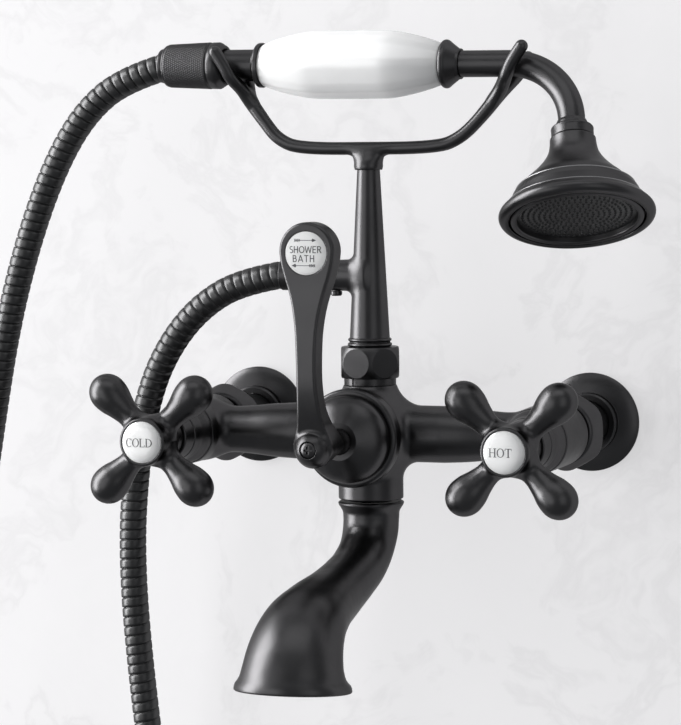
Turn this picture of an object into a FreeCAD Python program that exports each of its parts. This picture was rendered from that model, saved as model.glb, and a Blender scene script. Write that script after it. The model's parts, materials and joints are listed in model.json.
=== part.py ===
import FreeCAD, Part
import math
import os
from FreeCAD import Vector as V

# Wall-mounted bath faucet with hand shower, telephone pattern.
# Millimetres.  +X runs along the wall to the hot side, +Y goes into the wall and +Z is up.
# The origin lies on the wall face, midway between the two water inlets.

# ---- driving dimensions -------------------------------------------------------------------
inlet_centres = 178.0        # hot inlet to cold inlet
body_reach = 80.8            # wall face to the axis of the cross body
handle_reach = 142.0         # wall face to the plane of the handle arms
wall_clear = 0.3             # gap at parts that only pass each other
run_clear = 0.05             # radial clearance of a part that turns in another
seat_clear = 0.05            # radial clearance of a thread or a pushed-in part

# wall escutcheons
flange_r = 24.65
flange_edge = 1.8
flange_dome = 5.0
flange_collar_r = 15.0
flange_collar_end = 10.0

# inlet tails and union nuts
inlet_thread_r = 9.32        # tapping size of the G 1/2 socket
inlet_thread_depth = 15.0
tail_r = 11.2
tail_start = 0.6
tail_lip_r = 12.6
tail_lip = 3.0
water_way_r = 6.5
union_washer = 2.0
union_thread_r = 13.22       # G 3/4 nipple
union_flats = 37.0
union_nut_len = 18.0
union_nut_lip = 3.0
union_gap = 6.4              # bare thread between nut and valve barrel

# valve barrels
barrel_r = 15.7
barrel_len = 38.8
barrel_edge = 2.0
valve_bore_r = 11.0
valve_bore_depth = 23.0

# valve bonnets, cartridges and discs
bonnet_r = 12.6
bonnet_tip_r = 11.3
bonnet_shoulder = 5.0
bonnet_gap = 6.4             # bonnet's front face to the handle's hub
bonnet_tail = 8.0
cartridge_r = 9.4
disc_r = 8.6
disc_thick = 2.6
stem_r = 4.2
stem_foot_r = 7.0
stem_foot = 2.4

# cross handles
hub_r = 11.5
hub_len = 20.4
hub_front = 12.0             # hub face in front of the arms' plane
arm_reach = 31.0             # axis to the widest place of an arm's bulb
arm_bulb_r = 9.0
arm_waist_r = 5.7
arm_tip = 9.6                # bulb centre to the tip
button_r = 9.86
button_seat = 3.0
button_dome = 1.6
socket_depth = 12.0
handle_screw_r = 2.0
handle_screw_head_r = 3.7
handle_screw_head = 2.2

# cross body
bar_r = 13.7
bar_waist_r = 11.4
bar_taper_start = 42.0
bar_taper_end = 70.0
hub_body_r = 15.75
hub_body_drop = 32.0
hub_body_top_r = 12.5
hub_body_rise = 23.4
body_fillet = 6.5
boss_r = 20.6
boss_reach = 25.0            # body axis to the front face of the diverter boss
cavity_r = 15.0
cavity_depth = 27.0
side_bore_r = 7.0

# diverter
ring_r = 23.7
ring_len = 8.0
ring_front = 31.6            # body axis to the ring's front edge
dome_r = 20.8
dome_tip_r = 9.0
dome_len = 15.0
dome_spigot = 6.0
plug_len = 17.0
diverter_stem_r = 4.5

# diverter lever
lever_front = 168.0          # wall face to the lever's front face at the index
lever_bow = 2.3              # how far the shank bows out in front of that
lever_axis_to_index = 90.0
lever_head_r = 12.9
lever_waist = 5.0            # half width of the shank
lever_foot = 7.5             # half width at the ball
lever_thick = 12.0
lever_thick_low = 11.0
lever_blank = 30.0           # depth of the slab that the lever's blade is shaped from
lever_ball_r = 8.5
lever_ball_reach = 160.8     # wall face to the ball's centre
lever_face = 169.0           # wall face to the flat on the ball
lever_neck_r = 5.6
lever_socket = 9.0
index_r = 9.9
index_seat = 1.6
index_proud = 0.5
lever_screw_head_r = 3.6
lever_screw_sink = 0.2

# riser
riser_nut_flats = 28.0
riser_nut_len = 15.0
riser_nut_ball_r = 15.65
riser_nut_turn = 20.0        # a corner of the nut points this far right of straight out
riser_ring_r = 12.6
riser_ring_len = 3.4
riser_ring_slit = 0.8
riser_thread_r = 10.48       # G 1/2
riser_thread_len = 10.0
riser_lip_r = 10.0
riser_lip = 2.0
riser_neck_r = 9.0
riser_bead_r = 10.7
riser_bead = 1.6
riser_low_r = 9.65
riser_top_r = 5.5
riser_bore_r = 3.6
outlet_height = 76.2
outlet_r = 7.5
outlet_reach = 22.0          # riser axis to the face of the hose outlet
outlet_screw_r = 2.0
outlet_screw_len = 4.0
outlet_thread_r = 6.0
outlet_thread_len = 8.0

# cradle
cradle_height = 137.4
cradle_drop = 10.4           # cross rod's axis to the riser's shoulder
cradle_rod_r = 3.1
cradle_boss_r = 7.2
cradle_corner = 41.2         # riser axis to the corner of each bend
cradle_bend = 7.5            # corner to the ends of the bend
cradle_split = 9.0           # fork root below the saddle
fork_rise = 29.6             # cross rod's axis to the forks' saddles
fork_left = 62.0             # riser axis to each fork's root
fork_right = 67.5
fork_gap_r = 8.1             # inside radius of each fork
fork_left_lean = 11.4        # how far a prong's tip leans outward past its root
fork_right_lean = 12.5
fork_left_spread = 3.0       # how far each left prong's tip opens to pass the hose nut
fork_right_spread = 0.0
fork_step = 3.6              # how far the root stands inward of the saddle
fork_front_rise = 6.2        # prong tip above the handset axis
fork_back_rise = 0.6

# hand shower
handset_clear = 0.3
shank_r = 7.75
neck_r = 6.35
grip_left = 53.8
grip_right = 37.9
grip_end_r = 10.6
grip_mid_r = 17.0
grip_flat_left = 30.0
grip_flat_right = 13.5
grip_round_left = 13.0       # radius of the rounded ends 8 mm in from the left collar
grip_round_mid = 16.6        # the rounding leaves the grip's corners at this radius
grip_round_right = 12.6
collar_left_r = 10.85
collar_left_len = 2.6
collar_right_r = 11.2
collar_right_len = 9.2
tie_tube_r = 5.3
tube_wall = 1.2
elbow_corner = 99.6          # riser axis to the elbow's virtual corner
elbow_tangent = 28.5
elbow_turn = 80.5
handset_roll = 22.7          # the head hangs this far out from straight down
neck_ring_r = 7.4
neck_ring_len = 3.2
head_start = 38.9            # virtual corner to the head's upper edge
head_seat_r = 9.9
head_seat_len = 5.6
head_rim = 77.0              # virtual corner to the rim's centre
rim_r = 33.0
rim_bead_r = 2.8
spray_r = 29.4
spray_thick = 2.0
spray_ring_r = 32.0
nozzle_r = 0.7
nozzle_rings = (5.0, 10.0, 15.0, 20.0, 25.0)
nozzle_pitch = 5.3

# hose and its fittings
hose_d = 13.5
hose_nut_r = 11.4
hose_nut_small_r = 10.5
hose_nut_knurl = 24.2
hose_nut_collar = 6.8
hose_nut_thread_r = 9.7
hose_nut_end = 104.3         # riser axis to the nut's outer face
hose_nut_bore_r = 5.2
outlet_nut_r = 8.3
outlet_nut_len = 16.0
ferrule_r = 7.5
ferrule_len = 7.0
hose_washer = 1.5
hose_sink = 2.5              # length of tube trimmed away at each fitting
hose_gap = 0.2               # the hose's end stands this far off the hand shower's nut

# spout
spout_collar_r = 16.6
spout_collar_len = 4.8
spout_groove = 1.0
spout_neck_r = 13.6
spout_wall = 2.4
spout_spigot_r = 10.5
spout_spigot = 8.0
spout_mouth_reach = 190.0
spout_mouth_drop = 107.0
spout_mouth_x = 27.2         # half width of the mouth along the wall
spout_mouth_y = 24.0         # half depth of the mouth away from the wall

# ---- places worked out from the dimensions ------------------------------------------------
half_centres = inlet_centres / 2.0
tail_face = tail_start + 45.4
washer_face = tail_face + union_washer
nut_start = tail_face - tail_lip - union_nut_lip
nut_end = nut_start + union_nut_len
barrel_back = nut_end + union_gap
barrel_front = barrel_back + barrel_len
hub_back = handle_reach + hub_front - hub_len
hub_face = handle_reach + hub_front
bonnet_front = hub_back - bonnet_gap
dome_back = body_reach + ring_front
dome_front = dome_back + dome_len
body_bottom = -hub_body_drop
thread_top = hub_body_rise + riser_ring_len + riser_thread_len
riser_foot = thread_top + 1.0
nut_low = hub_body_rise + riser_ring_len
nut_high = nut_low + riser_nut_len
fork_r = fork_gap_r + cradle_rod_r
riser_top = cradle_height - cradle_drop
fork_floor = cradle_height + fork_rise
handset_left_z = fork_floor + cradle_rod_r + handset_clear + shank_r
handset_right_z = fork_floor + cradle_rod_r + handset_clear + neck_r
fork_span = fork_left + fork_right
handset_tilt = math.degrees(math.atan2(handset_left_z - handset_right_z, fork_span))
handset_z = handset_left_z - fork_left / fork_span * (handset_left_z - handset_right_z)
fork_height = handset_left_z + fork_front_rise - fork_floor


# ---- geometry helpers ---------------------------------------------------------------------
def outline(points):
    """Edges through (along, out) corners; a list inside it is a smooth curve to its last point."""
    edges = []
    here = points[0]
    for step in points[1:]:
        if isinstance(step, list):
            curve = Part.BSplineCurve()
            curve.interpolate([V(r, 0, a) for a, r in [here] + step])
            edges.append(curve.toShape())
            here = step[-1]
        elif len(step) == 4:
            middle, end = step[:2], step[2:]
            arc = Part.Arc(V(here[1], 0, here[0]), V(middle[1], 0, middle[0]), V(end[1], 0, end[0]))
            edges.append(arc.toShape())
            here = end
        else:
            edges.append(Part.LineSegment(V(here[1], 0, here[0]), V(step[1], 0, step[0])).toShape())
            here = step
    if here != points[0]:
        edges.append(Part.LineSegment(V(here[1], 0, here[0]), V(points[0][1], 0, points[0][0])).toShape())
    return Part.Wire(edges)


def turned(points):
    """A solid turned about Z from its half section, given as (along Z, radius) corners."""
    face = Part.Face(outline(points))
    solid = face.revolve(V(0, 0, 0), V(0, 0, 1), 360)
    return Part.Solid(solid) if solid.ShapeType != "Solid" else solid


def tube(low, high, outer, inner):
    return turned([(low, inner), (low, outer), (high, outer), (high, inner)])


def rod(low, high, radius):
    return Part.makeCylinder(radius, high - low, V(0, 0, low), V(0, 0, 1))


def hexagon(low, high, flats, turn):
    """A hexagonal prism about Z with a corner at the angle turn, in degrees from +X."""
    corner = flats / math.sqrt(3.0)
    angles = [math.radians(turn + 60.0 * k) for k in range(7)]
    ring = Part.makePolygon([V(corner * math.cos(t), corner * math.sin(t), low) for t in angles])
    return Part.Face(ring).extrude(V(0, 0, high - low))


def facing(shape, direction, origin):
    """Turn a shape built along +Z to point along direction, and move it to origin."""
    out = shape.copy()
    turn = FreeCAD.Placement(V(*origin), FreeCAD.Rotation(V(0, 0, 1), V(*direction)))
    out.Placement = turn.multiply(out.Placement)
    return out


def from_wall(shape, x=0.0):
    """A shape built along +Z, where Z is the distance from the wall, stood on the wall at x."""
    out = shape.copy()
    turn = FreeCAD.Placement(V(x, 0, 0), FreeCAD.Rotation(V(1, 0, 0), 90))
    out.Placement = turn.multiply(out.Placement)
    return out


def on_riser(shape):
    return facing(shape, (0, 0, 1), (0, -body_reach, 0))


def bent_path(points, share=0.45):
    """Straight runs joined by tangent arcs.  Gives the edges, the radii and the length."""
    points = [V(*p) for p in points]
    edges, radii, length, here = [], [], 0.0, points[0]
    for before, corner, after in zip(points, points[1:], points[2:]):
        into, out = corner - before, after - corner
        half_turn = into.getAngle(out) / 2.0
        tangent = share * min(into.Length, out.Length)
        radius = tangent / math.tan(half_turn)
        into.normalize()
        out.normalize()
        start, end = corner - into * tangent, corner + out * tangent
        inward = (out - into).normalize()
        middle = corner + inward * (radius / math.cos(half_turn) - radius)
        edges += [Part.LineSegment(here, start).toShape(), Part.Arc(start, middle, end).toShape()]
        length += (start - here).Length + radius * 2.0 * half_turn
        radii.append(radius)
        here = end
    edges.append(Part.LineSegment(here, points[-1]).toShape())
    return edges, radii, length + (points[-1] - here).Length


def swept(points, radius, share=0.45, ends=(False, False)):
    """A round rod along a bent path, with a ball on each end that asks for one."""
    edges, radii, length = bent_path(points, share)
    first, second = V(*points[0]), V(*points[1])
    ring = Part.Wire(Part.makeCircle(radius, first, second - first))
    solid = Part.Wire(edges).makePipeShell([ring], True, False)
    for ball, point in zip(ends, (points[0], points[-1])):
        if ball:
            solid = solid.fuse(Part.makeSphere(radius, V(*point)))
    return solid, radii, length


def joined(first, *others):
    out = first
    for shape in others:
        out = out.fuse(shape)
    return out.removeSplitter()


# ---- wall connections ---------------------------------------------------------------------
def escutcheon():
    bore = tail_r + wall_clear
    return turned([
        (0, bore), (0, flange_r - 0.6), (0.6, flange_r), (flange_edge, flange_r),
        [(flange_edge + 1.0, flange_r - 1.6), (flange_dome - 0.8, flange_collar_r + 4.0),
        (flange_dome, flange_collar_r)],
        (flange_collar_end - 0.8, flange_collar_r), (flange_collar_end, flange_collar_r - 0.8),
        (flange_collar_end, bore)])


def inlet_tail():
    """Tail with a G 1/2 socket for the supply stub and a lip that the union nut pulls on."""
    return turned([
        (tail_start, inlet_thread_r), (tail_start, tail_r), (tail_face - tail_lip, tail_r),
        (tail_face - tail_lip, tail_lip_r), (tail_face, tail_lip_r), (tail_face, water_way_r),
        (tail_start + inlet_thread_depth, water_way_r), (tail_start + inlet_thread_depth, inlet_thread_r)])


def union_nut():
    corner = union_flats / math.sqrt(3.0)
    chamfer = turned([
        (nut_start, 0), (nut_start, union_flats / 2 - 0.6), (nut_start + 2.0, corner),
        (nut_end - 2.0, corner),
        (nut_end, union_flats / 2 - 0.6), (nut_end, 0)])
    nut = hexagon(nut_start, nut_end, union_flats, 90.0).common(chamfer)
    lip_end = nut_start + union_nut_lip
    bore = turned([
        (nut_start - 1, 0), (nut_start - 1, tail_r + seat_clear), (lip_end, tail_r + seat_clear),
        (lip_end, union_thread_r + seat_clear), (nut_end + 1, union_thread_r + seat_clear),
        (nut_end + 1, 0)])
    return nut.cut(bore)


# ---- valves -------------------------------------------------------------------------------
def valve_bonnet():
    low = barrel_front - bonnet_tail
    inner = cartridge_r + seat_clear
    bore_end = bonnet_front - 10.0
    step = 0.5 * (barrel_front + bonnet_shoulder + bonnet_front) - 0.3
    return turned([
        (low, inner), (low, valve_bore_r - seat_clear), (barrel_front, valve_bore_r - seat_clear),
        (barrel_front, barrel_r), (barrel_front + 1.2, barrel_r),
        (barrel_front + 3.4, barrel_r - 0.9, barrel_front + bonnet_shoulder, bonnet_r),
        (step - 1.2, bonnet_r), (step - 1.2, bonnet_r - 1.0), (step, bonnet_r - 1.0),
        (step, bonnet_tip_r), (bonnet_front - 1.0, bonnet_tip_r), (bonnet_front, bonnet_tip_r - 1.0),
        (bonnet_front, stem_r + run_clear), (bore_end, stem_r + run_clear), (bore_end, inner)])


def disc_plane():
    return barrel_front - valve_bore_depth


def fixed_disc():
    low = disc_plane()
    disc = tube(low, low + disc_thick, disc_r, 2.0)
    slot = Part.makeBox(disc_r, 4.0, disc_thick + 2, V(2.6, -2.0, low - 1))
    return disc.cut(slot)


def moving_disc():
    low = disc_plane() + disc_thick
    disc = rod(low, low + disc_thick, disc_r - 0.4)
    notch = Part.makeBox(disc_r, 4.4, disc_thick + 2, V(2.6, -2.2, low - 1))
    return disc.cut(notch)


def cartridge_shell():
    low = disc_plane() + 2 * disc_thick + wall_clear
    high = bonnet_front - 10.4
    foot_room = low + stem_foot + wall_clear
    return turned([
        (low, stem_foot_r + wall_clear), (low, cartridge_r), (high, cartridge_r),
        (high, stem_r + run_clear),
        (foot_room, stem_r + run_clear), (foot_room, stem_foot_r + wall_clear)])


def valve_stem():
    low = disc_plane() + 2 * disc_thick
    stem = turned([
        (low, 0), (low, stem_foot_r), (low + stem_foot, stem_foot_r), (low + stem_foot, stem_r),
        (hub_back + socket_depth - 0.6, stem_r), (hub_back + socket_depth, stem_r - 0.6),
        (hub_back + socket_depth, 0)])
    return stem.cut(rod(hub_back + 2.0, hub_back + socket_depth + 1, handle_screw_r))


# ---- cross handle -------------------------------------------------------------------------
def handle_arm():
    """One pear-shaped arm, turned about its own axis from the hub outward."""
    tip = arm_reach + arm_tip
    return turned([
        (4.0, 0), (4.0, 8.4),
        [(9.5, 7.0), (15.5, arm_waist_r), (21.5, 6.9), (26.5, 8.45), (arm_reach, arm_bulb_r),
         (arm_reach + 4.6, 8.0), (arm_reach + 8.0, 4.9), (tip - 0.25, 1.6), (tip, 0)]])


def cross_handle():
    bevel = 1.2
    hub = turned([
        (hub_back, 0), (hub_back, hub_r - 1.8), (hub_back + 1.8, hub_r - 0.4),
        (hub_back + 6.0, hub_r + 0.6),
        (hub_face - 4.5, hub_r + 0.4), (hub_face - 2.6, hub_r), (hub_face - bevel, hub_r),
        (hub_face, hub_r - bevel), (hub_face, 0)])
    arm = facing(handle_arm(), (1, 0, 0), (0, 0, handle_reach))
    arms = []
    for k in range(4):
        turned_arm = arm.copy()
        turned_arm.rotate(V(0, 0, 0), V(0, 0, 1), 45 + 90 * k)
        arms.append(turned_arm)
    handle = joined(hub, *arms)
    seat = rod(hub_face - button_seat, hub_face + 1, button_r + seat_clear)
    stem_socket = rod(hub_back - 1, hub_back + socket_depth, stem_r + seat_clear)
    screw_way = rod(hub_back, hub_face, handle_screw_r + wall_clear)
    screw_seat = rod(screw_head_low(), hub_face + 1, handle_screw_head_r + wall_clear)
    return handle.cut(seat).cut(stem_socket).cut(screw_way).cut(screw_seat)


def screw_head_low():
    return hub_face - button_seat - handle_screw_head - wall_clear


def porcelain_button():
    low = hub_face - button_seat
    return turned([
        (low, 0), (low, button_r), (hub_face - 0.2, button_r),
        [(hub_face + button_dome * 0.55, button_r * 0.8), (hub_face + button_dome * 0.9, button_r * 0.42),
         (hub_face + button_dome, 0)]])


def handle_screw():
    low = screw_head_low()
    shank = rod(hub_back + 2.6, low, handle_screw_r - seat_clear)
    head = rod(low, low + handle_screw_head, handle_screw_head_r)
    return cross_slotted(joined(shank, head), low + handle_screw_head)


def cross_slotted(screw, face):
    """A cross recess in a screw's head, whose face is at the height given."""
    arms = [
        Part.makeBox(3.6, 0.9, 1.4, V(-1.8, -0.45, face - 1.2)),
        Part.makeBox(0.9, 3.6, 1.4, V(-0.45, -1.8, face - 1.2))]
    return screw.cut(arms[0]).cut(arms[1])


# ---- cross body ---------------------------------------------------------------------------
def bar_half():
    """Half of the cross bar, turned about Z from the body's middle to the valve axis."""
    return turned([
        (0, 0), (0, bar_r), (bar_taper_start, bar_r),
        [(0.5 * (bar_taper_start + bar_taper_end), 0.5 * (bar_r + bar_waist_r) + 0.3),
        (bar_taper_end, bar_waist_r)],
        [(bar_taper_end + 3.0, bar_waist_r + 1.1), (half_centres - barrel_r + 5.0, bar_waist_r + 3.2)],
        (half_centres, bar_waist_r + 2.4), (half_centres, 0)])


def body_casting():
    """Cross bar, upright hub, diverter boss and the two valve barrels, cast in one piece."""
    bar = Part.makeCylinder(bar_r, 2 * bar_taper_start - 2, V(1 - bar_taper_start, 0, 0), V(1, 0, 0))
    upright = Part.makeCylinder(hub_body_r, hub_body_drop + hub_body_rise, V(0, 0, body_bottom), V(0, 0, 1))
    cross = bar.fuse(upright).removeSplitter()
    saddle = [e for e in cross.Edges if not isinstance(e.Curve, (Part.Circle, Part.Line))]
    cross = cross.makeFillet(body_fillet, saddle)
    sweep = hub_body_rise - bar_r
    wide = 2 * bar_taper_start
    waist = sweep * (1 - math.sqrt(0.5))
    trim = turned([
        (body_bottom, 0), (body_bottom, wide), (bar_r, wide), (bar_r, hub_body_top_r + sweep),
        (bar_r + waist, hub_body_top_r + waist, hub_body_rise, hub_body_top_r), (hub_body_rise, 0)])
    nipple = rod(0, thread_top, riser_thread_r)
    middle = joined(cross.common(trim), nipple)
    middle.translate(V(0, -body_reach, 0))
    solids = [middle]
    for side in (-1, 1):
        solids.append(facing(bar_half(), (side, 0, 0), (0, -body_reach, 0)))
        barrel = turned([
            (washer_face, 0), (washer_face, union_thread_r), (barrel_back, union_thread_r),
            (barrel_back, barrel_r - barrel_edge),
            (barrel_back + 0.6, barrel_r - 0.6, barrel_back + barrel_edge, barrel_r),
            (barrel_front, barrel_r), (barrel_front, 0)])
        solids.append(from_wall(barrel, side * half_centres))
    boss = rod(body_reach, body_reach + boss_reach, boss_r)
    solids.append(from_wall(boss))
    body = joined(*solids)
    # water ways: barrels, cross bar, diverter cavity, riser and spout
    for side in (-1, 1):
        way = joined(
            rod(washer_face - 1, body_reach + 1, water_way_r),
            rod(disc_plane(), barrel_front + 1, valve_bore_r))
        body = body.cut(from_wall(way, side * half_centres))
        body = body.cut(facing(
            rod(0, half_centres - 6.0, side_bore_r), (side, 0, 0), (0, -body_reach - 4.0, 0)))
    cavity = rod(body_reach + boss_reach - cavity_depth, body_reach + boss_reach + 1, cavity_r)
    body = body.cut(from_wall(cavity))
    body = body.cut(on_riser(rod(0, thread_top + 1, water_way_r)))
    body = body.cut(on_riser(rod(body_bottom - 1, 0, spout_spigot_r + seat_clear)))
    return body


# ---- diverter -----------------------------------------------------------------------------
def diverter_ring():
    high = dome_back
    low = high - ring_len
    return turned([
        (low, boss_r + seat_clear), (low, ring_r - 1.4), (low + 0.4, ring_r - 0.4, low + 1.4, ring_r),
        (high - 2.0, ring_r), (high - 0.6, ring_r - 0.6, high, ring_r - 2.0), (high, dome_r + seat_clear),
        (high - 1.6, dome_r + seat_clear), (high - 1.6, boss_r + seat_clear)])


def diverter_dome():
    seat = body_reach + boss_reach
    low = seat - dome_spigot
    return turned([
        (low, diverter_stem_r + 4.0), (low, cavity_r - seat_clear), (seat, cavity_r - seat_clear),
        (seat, boss_r),
        (dome_back - 1.6 + 0.2, boss_r), (dome_back - 1.4, dome_r), (dome_back + 4.0, dome_r),
        [(dome_back + 7.0, dome_r - 0.9), (dome_back + 10.0, dome_r - 3.6),
        (dome_front - 2.0, dome_tip_r + 3.4),
         (dome_front, dome_tip_r)],
        (dome_front, diverter_stem_r + run_clear), (dome_back - 2.0, diverter_stem_r + run_clear),
        (dome_back - 2.0, diverter_stem_r + 4.0)])


def diverter_plug():
    """The turning core: a cup with two side ports that choose riser or spout."""
    low = body_reach + boss_reach - cavity_depth + wall_clear
    plug = turned([
        (low, 0), (low, cavity_r - run_clear), (low + plug_len, cavity_r - run_clear),
        (low + plug_len, diverter_stem_r + 0.5), (low + plug_len - 3.0, diverter_stem_r + 0.5),
        (low + plug_len - 3.0, 0)])
    hollow = rod(low + 2.0, low + plug_len - 4.0, cavity_r - 3.0)
    ports = joined(
        facing(rod(0, cavity_r + 2, 4.6), (1, 0, 0), (0, 0, low + 8.0)),
        facing(rod(0, cavity_r + 2, 4.6), (-1, 0, 0), (0, 0, low + 8.0)),
        facing(rod(0, cavity_r + 2, 4.6), (0, 1, 0), (0, 0, low + 8.0)))
    return plug.cut(hollow).cut(ports)


def diverter_stem():
    low = body_reach + boss_reach - cavity_depth + wall_clear + plug_len - 3.0
    high = dome_front + 1.0 + lever_socket
    stem = turned([
        (low, 0), (low, diverter_stem_r), (high - 0.6, diverter_stem_r), (high, diverter_stem_r - 0.6),
        (high, 0)])
    groove = tube(dome_back - 1.2, dome_back + 0.6, diverter_stem_r + 1, diverter_stem_r - 1.0)
    screw_way = rod(high - 8.0, high + 1, handle_screw_r)
    return stem.cut(groove).cut(screw_way)


# ---- diverter lever -----------------------------------------------------------------------
def lever_outline(depth):
    """The lever's front view, as a face in the plane at the depth given from the wall."""
    index = lever_axis_to_index
    half = [(0.0, lever_foot), (9.0, lever_foot - 0.4), (18.0, lever_waist + 0.7), (29.0, lever_waist),
            (44.0, lever_waist), (index - 35.0, lever_waist + 0.6), (index - 26.0, lever_head_r - 6.0),
            (index - 18.0, lever_head_r - 4.1), (index - 10.0, lever_head_r - 1.8)]
    top = index + 0.5
    right, left = Part.BSplineCurve(), Part.BSplineCurve()
    right.interpolate([V(w, z, depth) for z, w in half] + [V(lever_head_r, top, depth)])
    left.interpolate([V(-w, z, depth) for z, w in half] + [V(-lever_head_r, top, depth)])
    arch = Part.Arc(
        V(-lever_head_r, top, depth), V(0, top + lever_head_r, depth), V(lever_head_r, top, depth))
    base = Part.LineSegment(V(-lever_foot, 0, depth), V(lever_foot, 0, depth))
    return Part.Face(Part.Wire([base.toShape(), right.toShape(), arch.toShape(), left.toShape()]))


def lever_side():
    """The lever's side view, as a slab that trims the blade's front and back."""
    top = lever_axis_to_index + lever_head_r + 2
    head = lever_axis_to_index - 14.0
    bow = lever_front + lever_bow
    wide = 2 * lever_head_r
    front, back = Part.BSplineCurve(), Part.BSplineCurve()
    front.interpolate([
        V(0, head, lever_front), V(0, head - 16.0, lever_front + 1.4), V(0, 42.0, bow),
        V(0, 28.0, bow - 0.8), V(0, 18.0, lever_front - 0.4), V(0, 9.0, lever_front - 4.0),
        V(0, 0, lever_front - 8.0)])
    back.interpolate([
        V(0, head, lever_front - lever_thick), V(0, head - 16.0, bow - 0.8 - lever_thick_low),
        V(0, 42.0, bow - lever_thick_low), V(0, 28.0, bow - lever_thick_low - 0.6),
        V(0, 20.0, bow - lever_thick_low - 2.4), V(0, 12.0, bow - lever_thick_low - 7.2),
        V(0, 5.0, bow - lever_thick_low - 16.0), V(0, 0, bow - lever_thick_low - 19.0)])
    ends = [
        Part.makeLine(V(0, 0, lever_front - 8.0), V(0, 0, bow - lever_thick_low - 19.0)),
        Part.makeLine(V(0, head, lever_front), V(0, top, lever_front)),
        Part.makeLine(V(0, top, lever_front), V(0, top, lever_front - lever_thick)),
        Part.makeLine(V(0, top, lever_front - lever_thick), V(0, head, lever_front - lever_thick))]
    edges = Part.sortEdges([front.toShape(), back.toShape()] + ends)[0]
    face = Part.Face(Part.Wire(edges))
    face.translate(V(-wide, 0, 0))
    return face.extrude(V(2 * wide, 0, 0))


def diverter_lever():
    blade = lever_outline(lever_front - lever_blank).extrude(V(0, 0, 1.2 * lever_blank)).common(lever_side())
    neck_low = dome_front + 0.5
    ball = lever_ball_reach
    flat_r = math.sqrt(lever_ball_r ** 2 - (lever_face - ball) ** 2)
    boss = turned([
        (neck_low, 0), (neck_low, lever_neck_r), (neck_low + 5.0, lever_neck_r + 0.2),
        [(neck_low + 12.0, 6.2), (ball - 14.0, 7.4), (ball - 7.0, 8.3), (ball, lever_ball_r)],
        (ball + 4.5, math.sqrt(lever_ball_r ** 2 - 4.5 ** 2), lever_face, flat_r),
        (lever_face, 0)])
    lever = joined(blade, boss)
    stem_socket = rod(neck_low - 1, dome_front + 1.0 + lever_socket, diverter_stem_r + seat_clear)
    screw_way = rod(neck_low, lever_face + 4, handle_screw_r + wall_clear)
    screw_seat = rod(lever_screw_low(), lever_face + 4, lever_screw_head_r + wall_clear)
    index_pocket = rod(lever_front - index_seat, lever_front + 2, index_r + seat_clear)
    index_pocket.translate(V(0, lever_axis_to_index, 0))
    return lever.cut(stem_socket).cut(screw_way).cut(screw_seat).cut(index_pocket)


def lever_screw_low():
    return lever_face - 3.2


def lever_index():
    low = lever_front - index_seat
    disc = turned([
        (low, 0), (low, index_r), (lever_front, index_r),
        [(lever_front + index_proud * 0.8, index_r * 0.72), (lever_front + index_proud, 0)]])
    disc.translate(V(0, lever_axis_to_index, 0))
    return disc


def lever_screw():
    low = lever_screw_low()
    high = lever_face - lever_screw_sink
    head = turned([(low, 0), (low, lever_screw_head_r), (high - 1.0, lever_screw_head_r),
                   (high - 0.3, lever_screw_head_r - 1.0, high, 0)])
    shank = rod(dome_front + 1.0 + lever_socket - 7.4, low, handle_screw_r - seat_clear)
    return cross_slotted(joined(shank, head), high)


# ---- riser --------------------------------------------------------------------------------
def riser_lock_ring():
    ring = tube(hub_body_rise, nut_low, riser_ring_r, riser_thread_r + seat_clear)
    slit = Part.makeBox(8.0, riser_ring_slit, 8.0, V(8.0, -riser_ring_slit / 2, hub_body_rise - 1))
    slit.rotate(V(0, 0, 0), V(0, 0, 1), -112.0)
    return ring.cut(slit)


def riser_nut():
    middle = (nut_low + nut_high) / 2
    nut = hexagon(nut_low, nut_high, riser_nut_flats, riser_nut_turn - 90.0)
    nut = nut.common(Part.makeSphere(riser_nut_ball_r, V(0, 0, middle)))
    lip_low = riser_foot + riser_lip
    bore = turned([
        (nut_low - 1, 0), (nut_low - 1, riser_thread_r + seat_clear),
        (lip_low, riser_thread_r + seat_clear),
        (lip_low, riser_neck_r + seat_clear), (nut_high + 1, riser_neck_r + seat_clear), (nut_high + 1, 0)])
    return nut.cut(bore)


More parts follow.
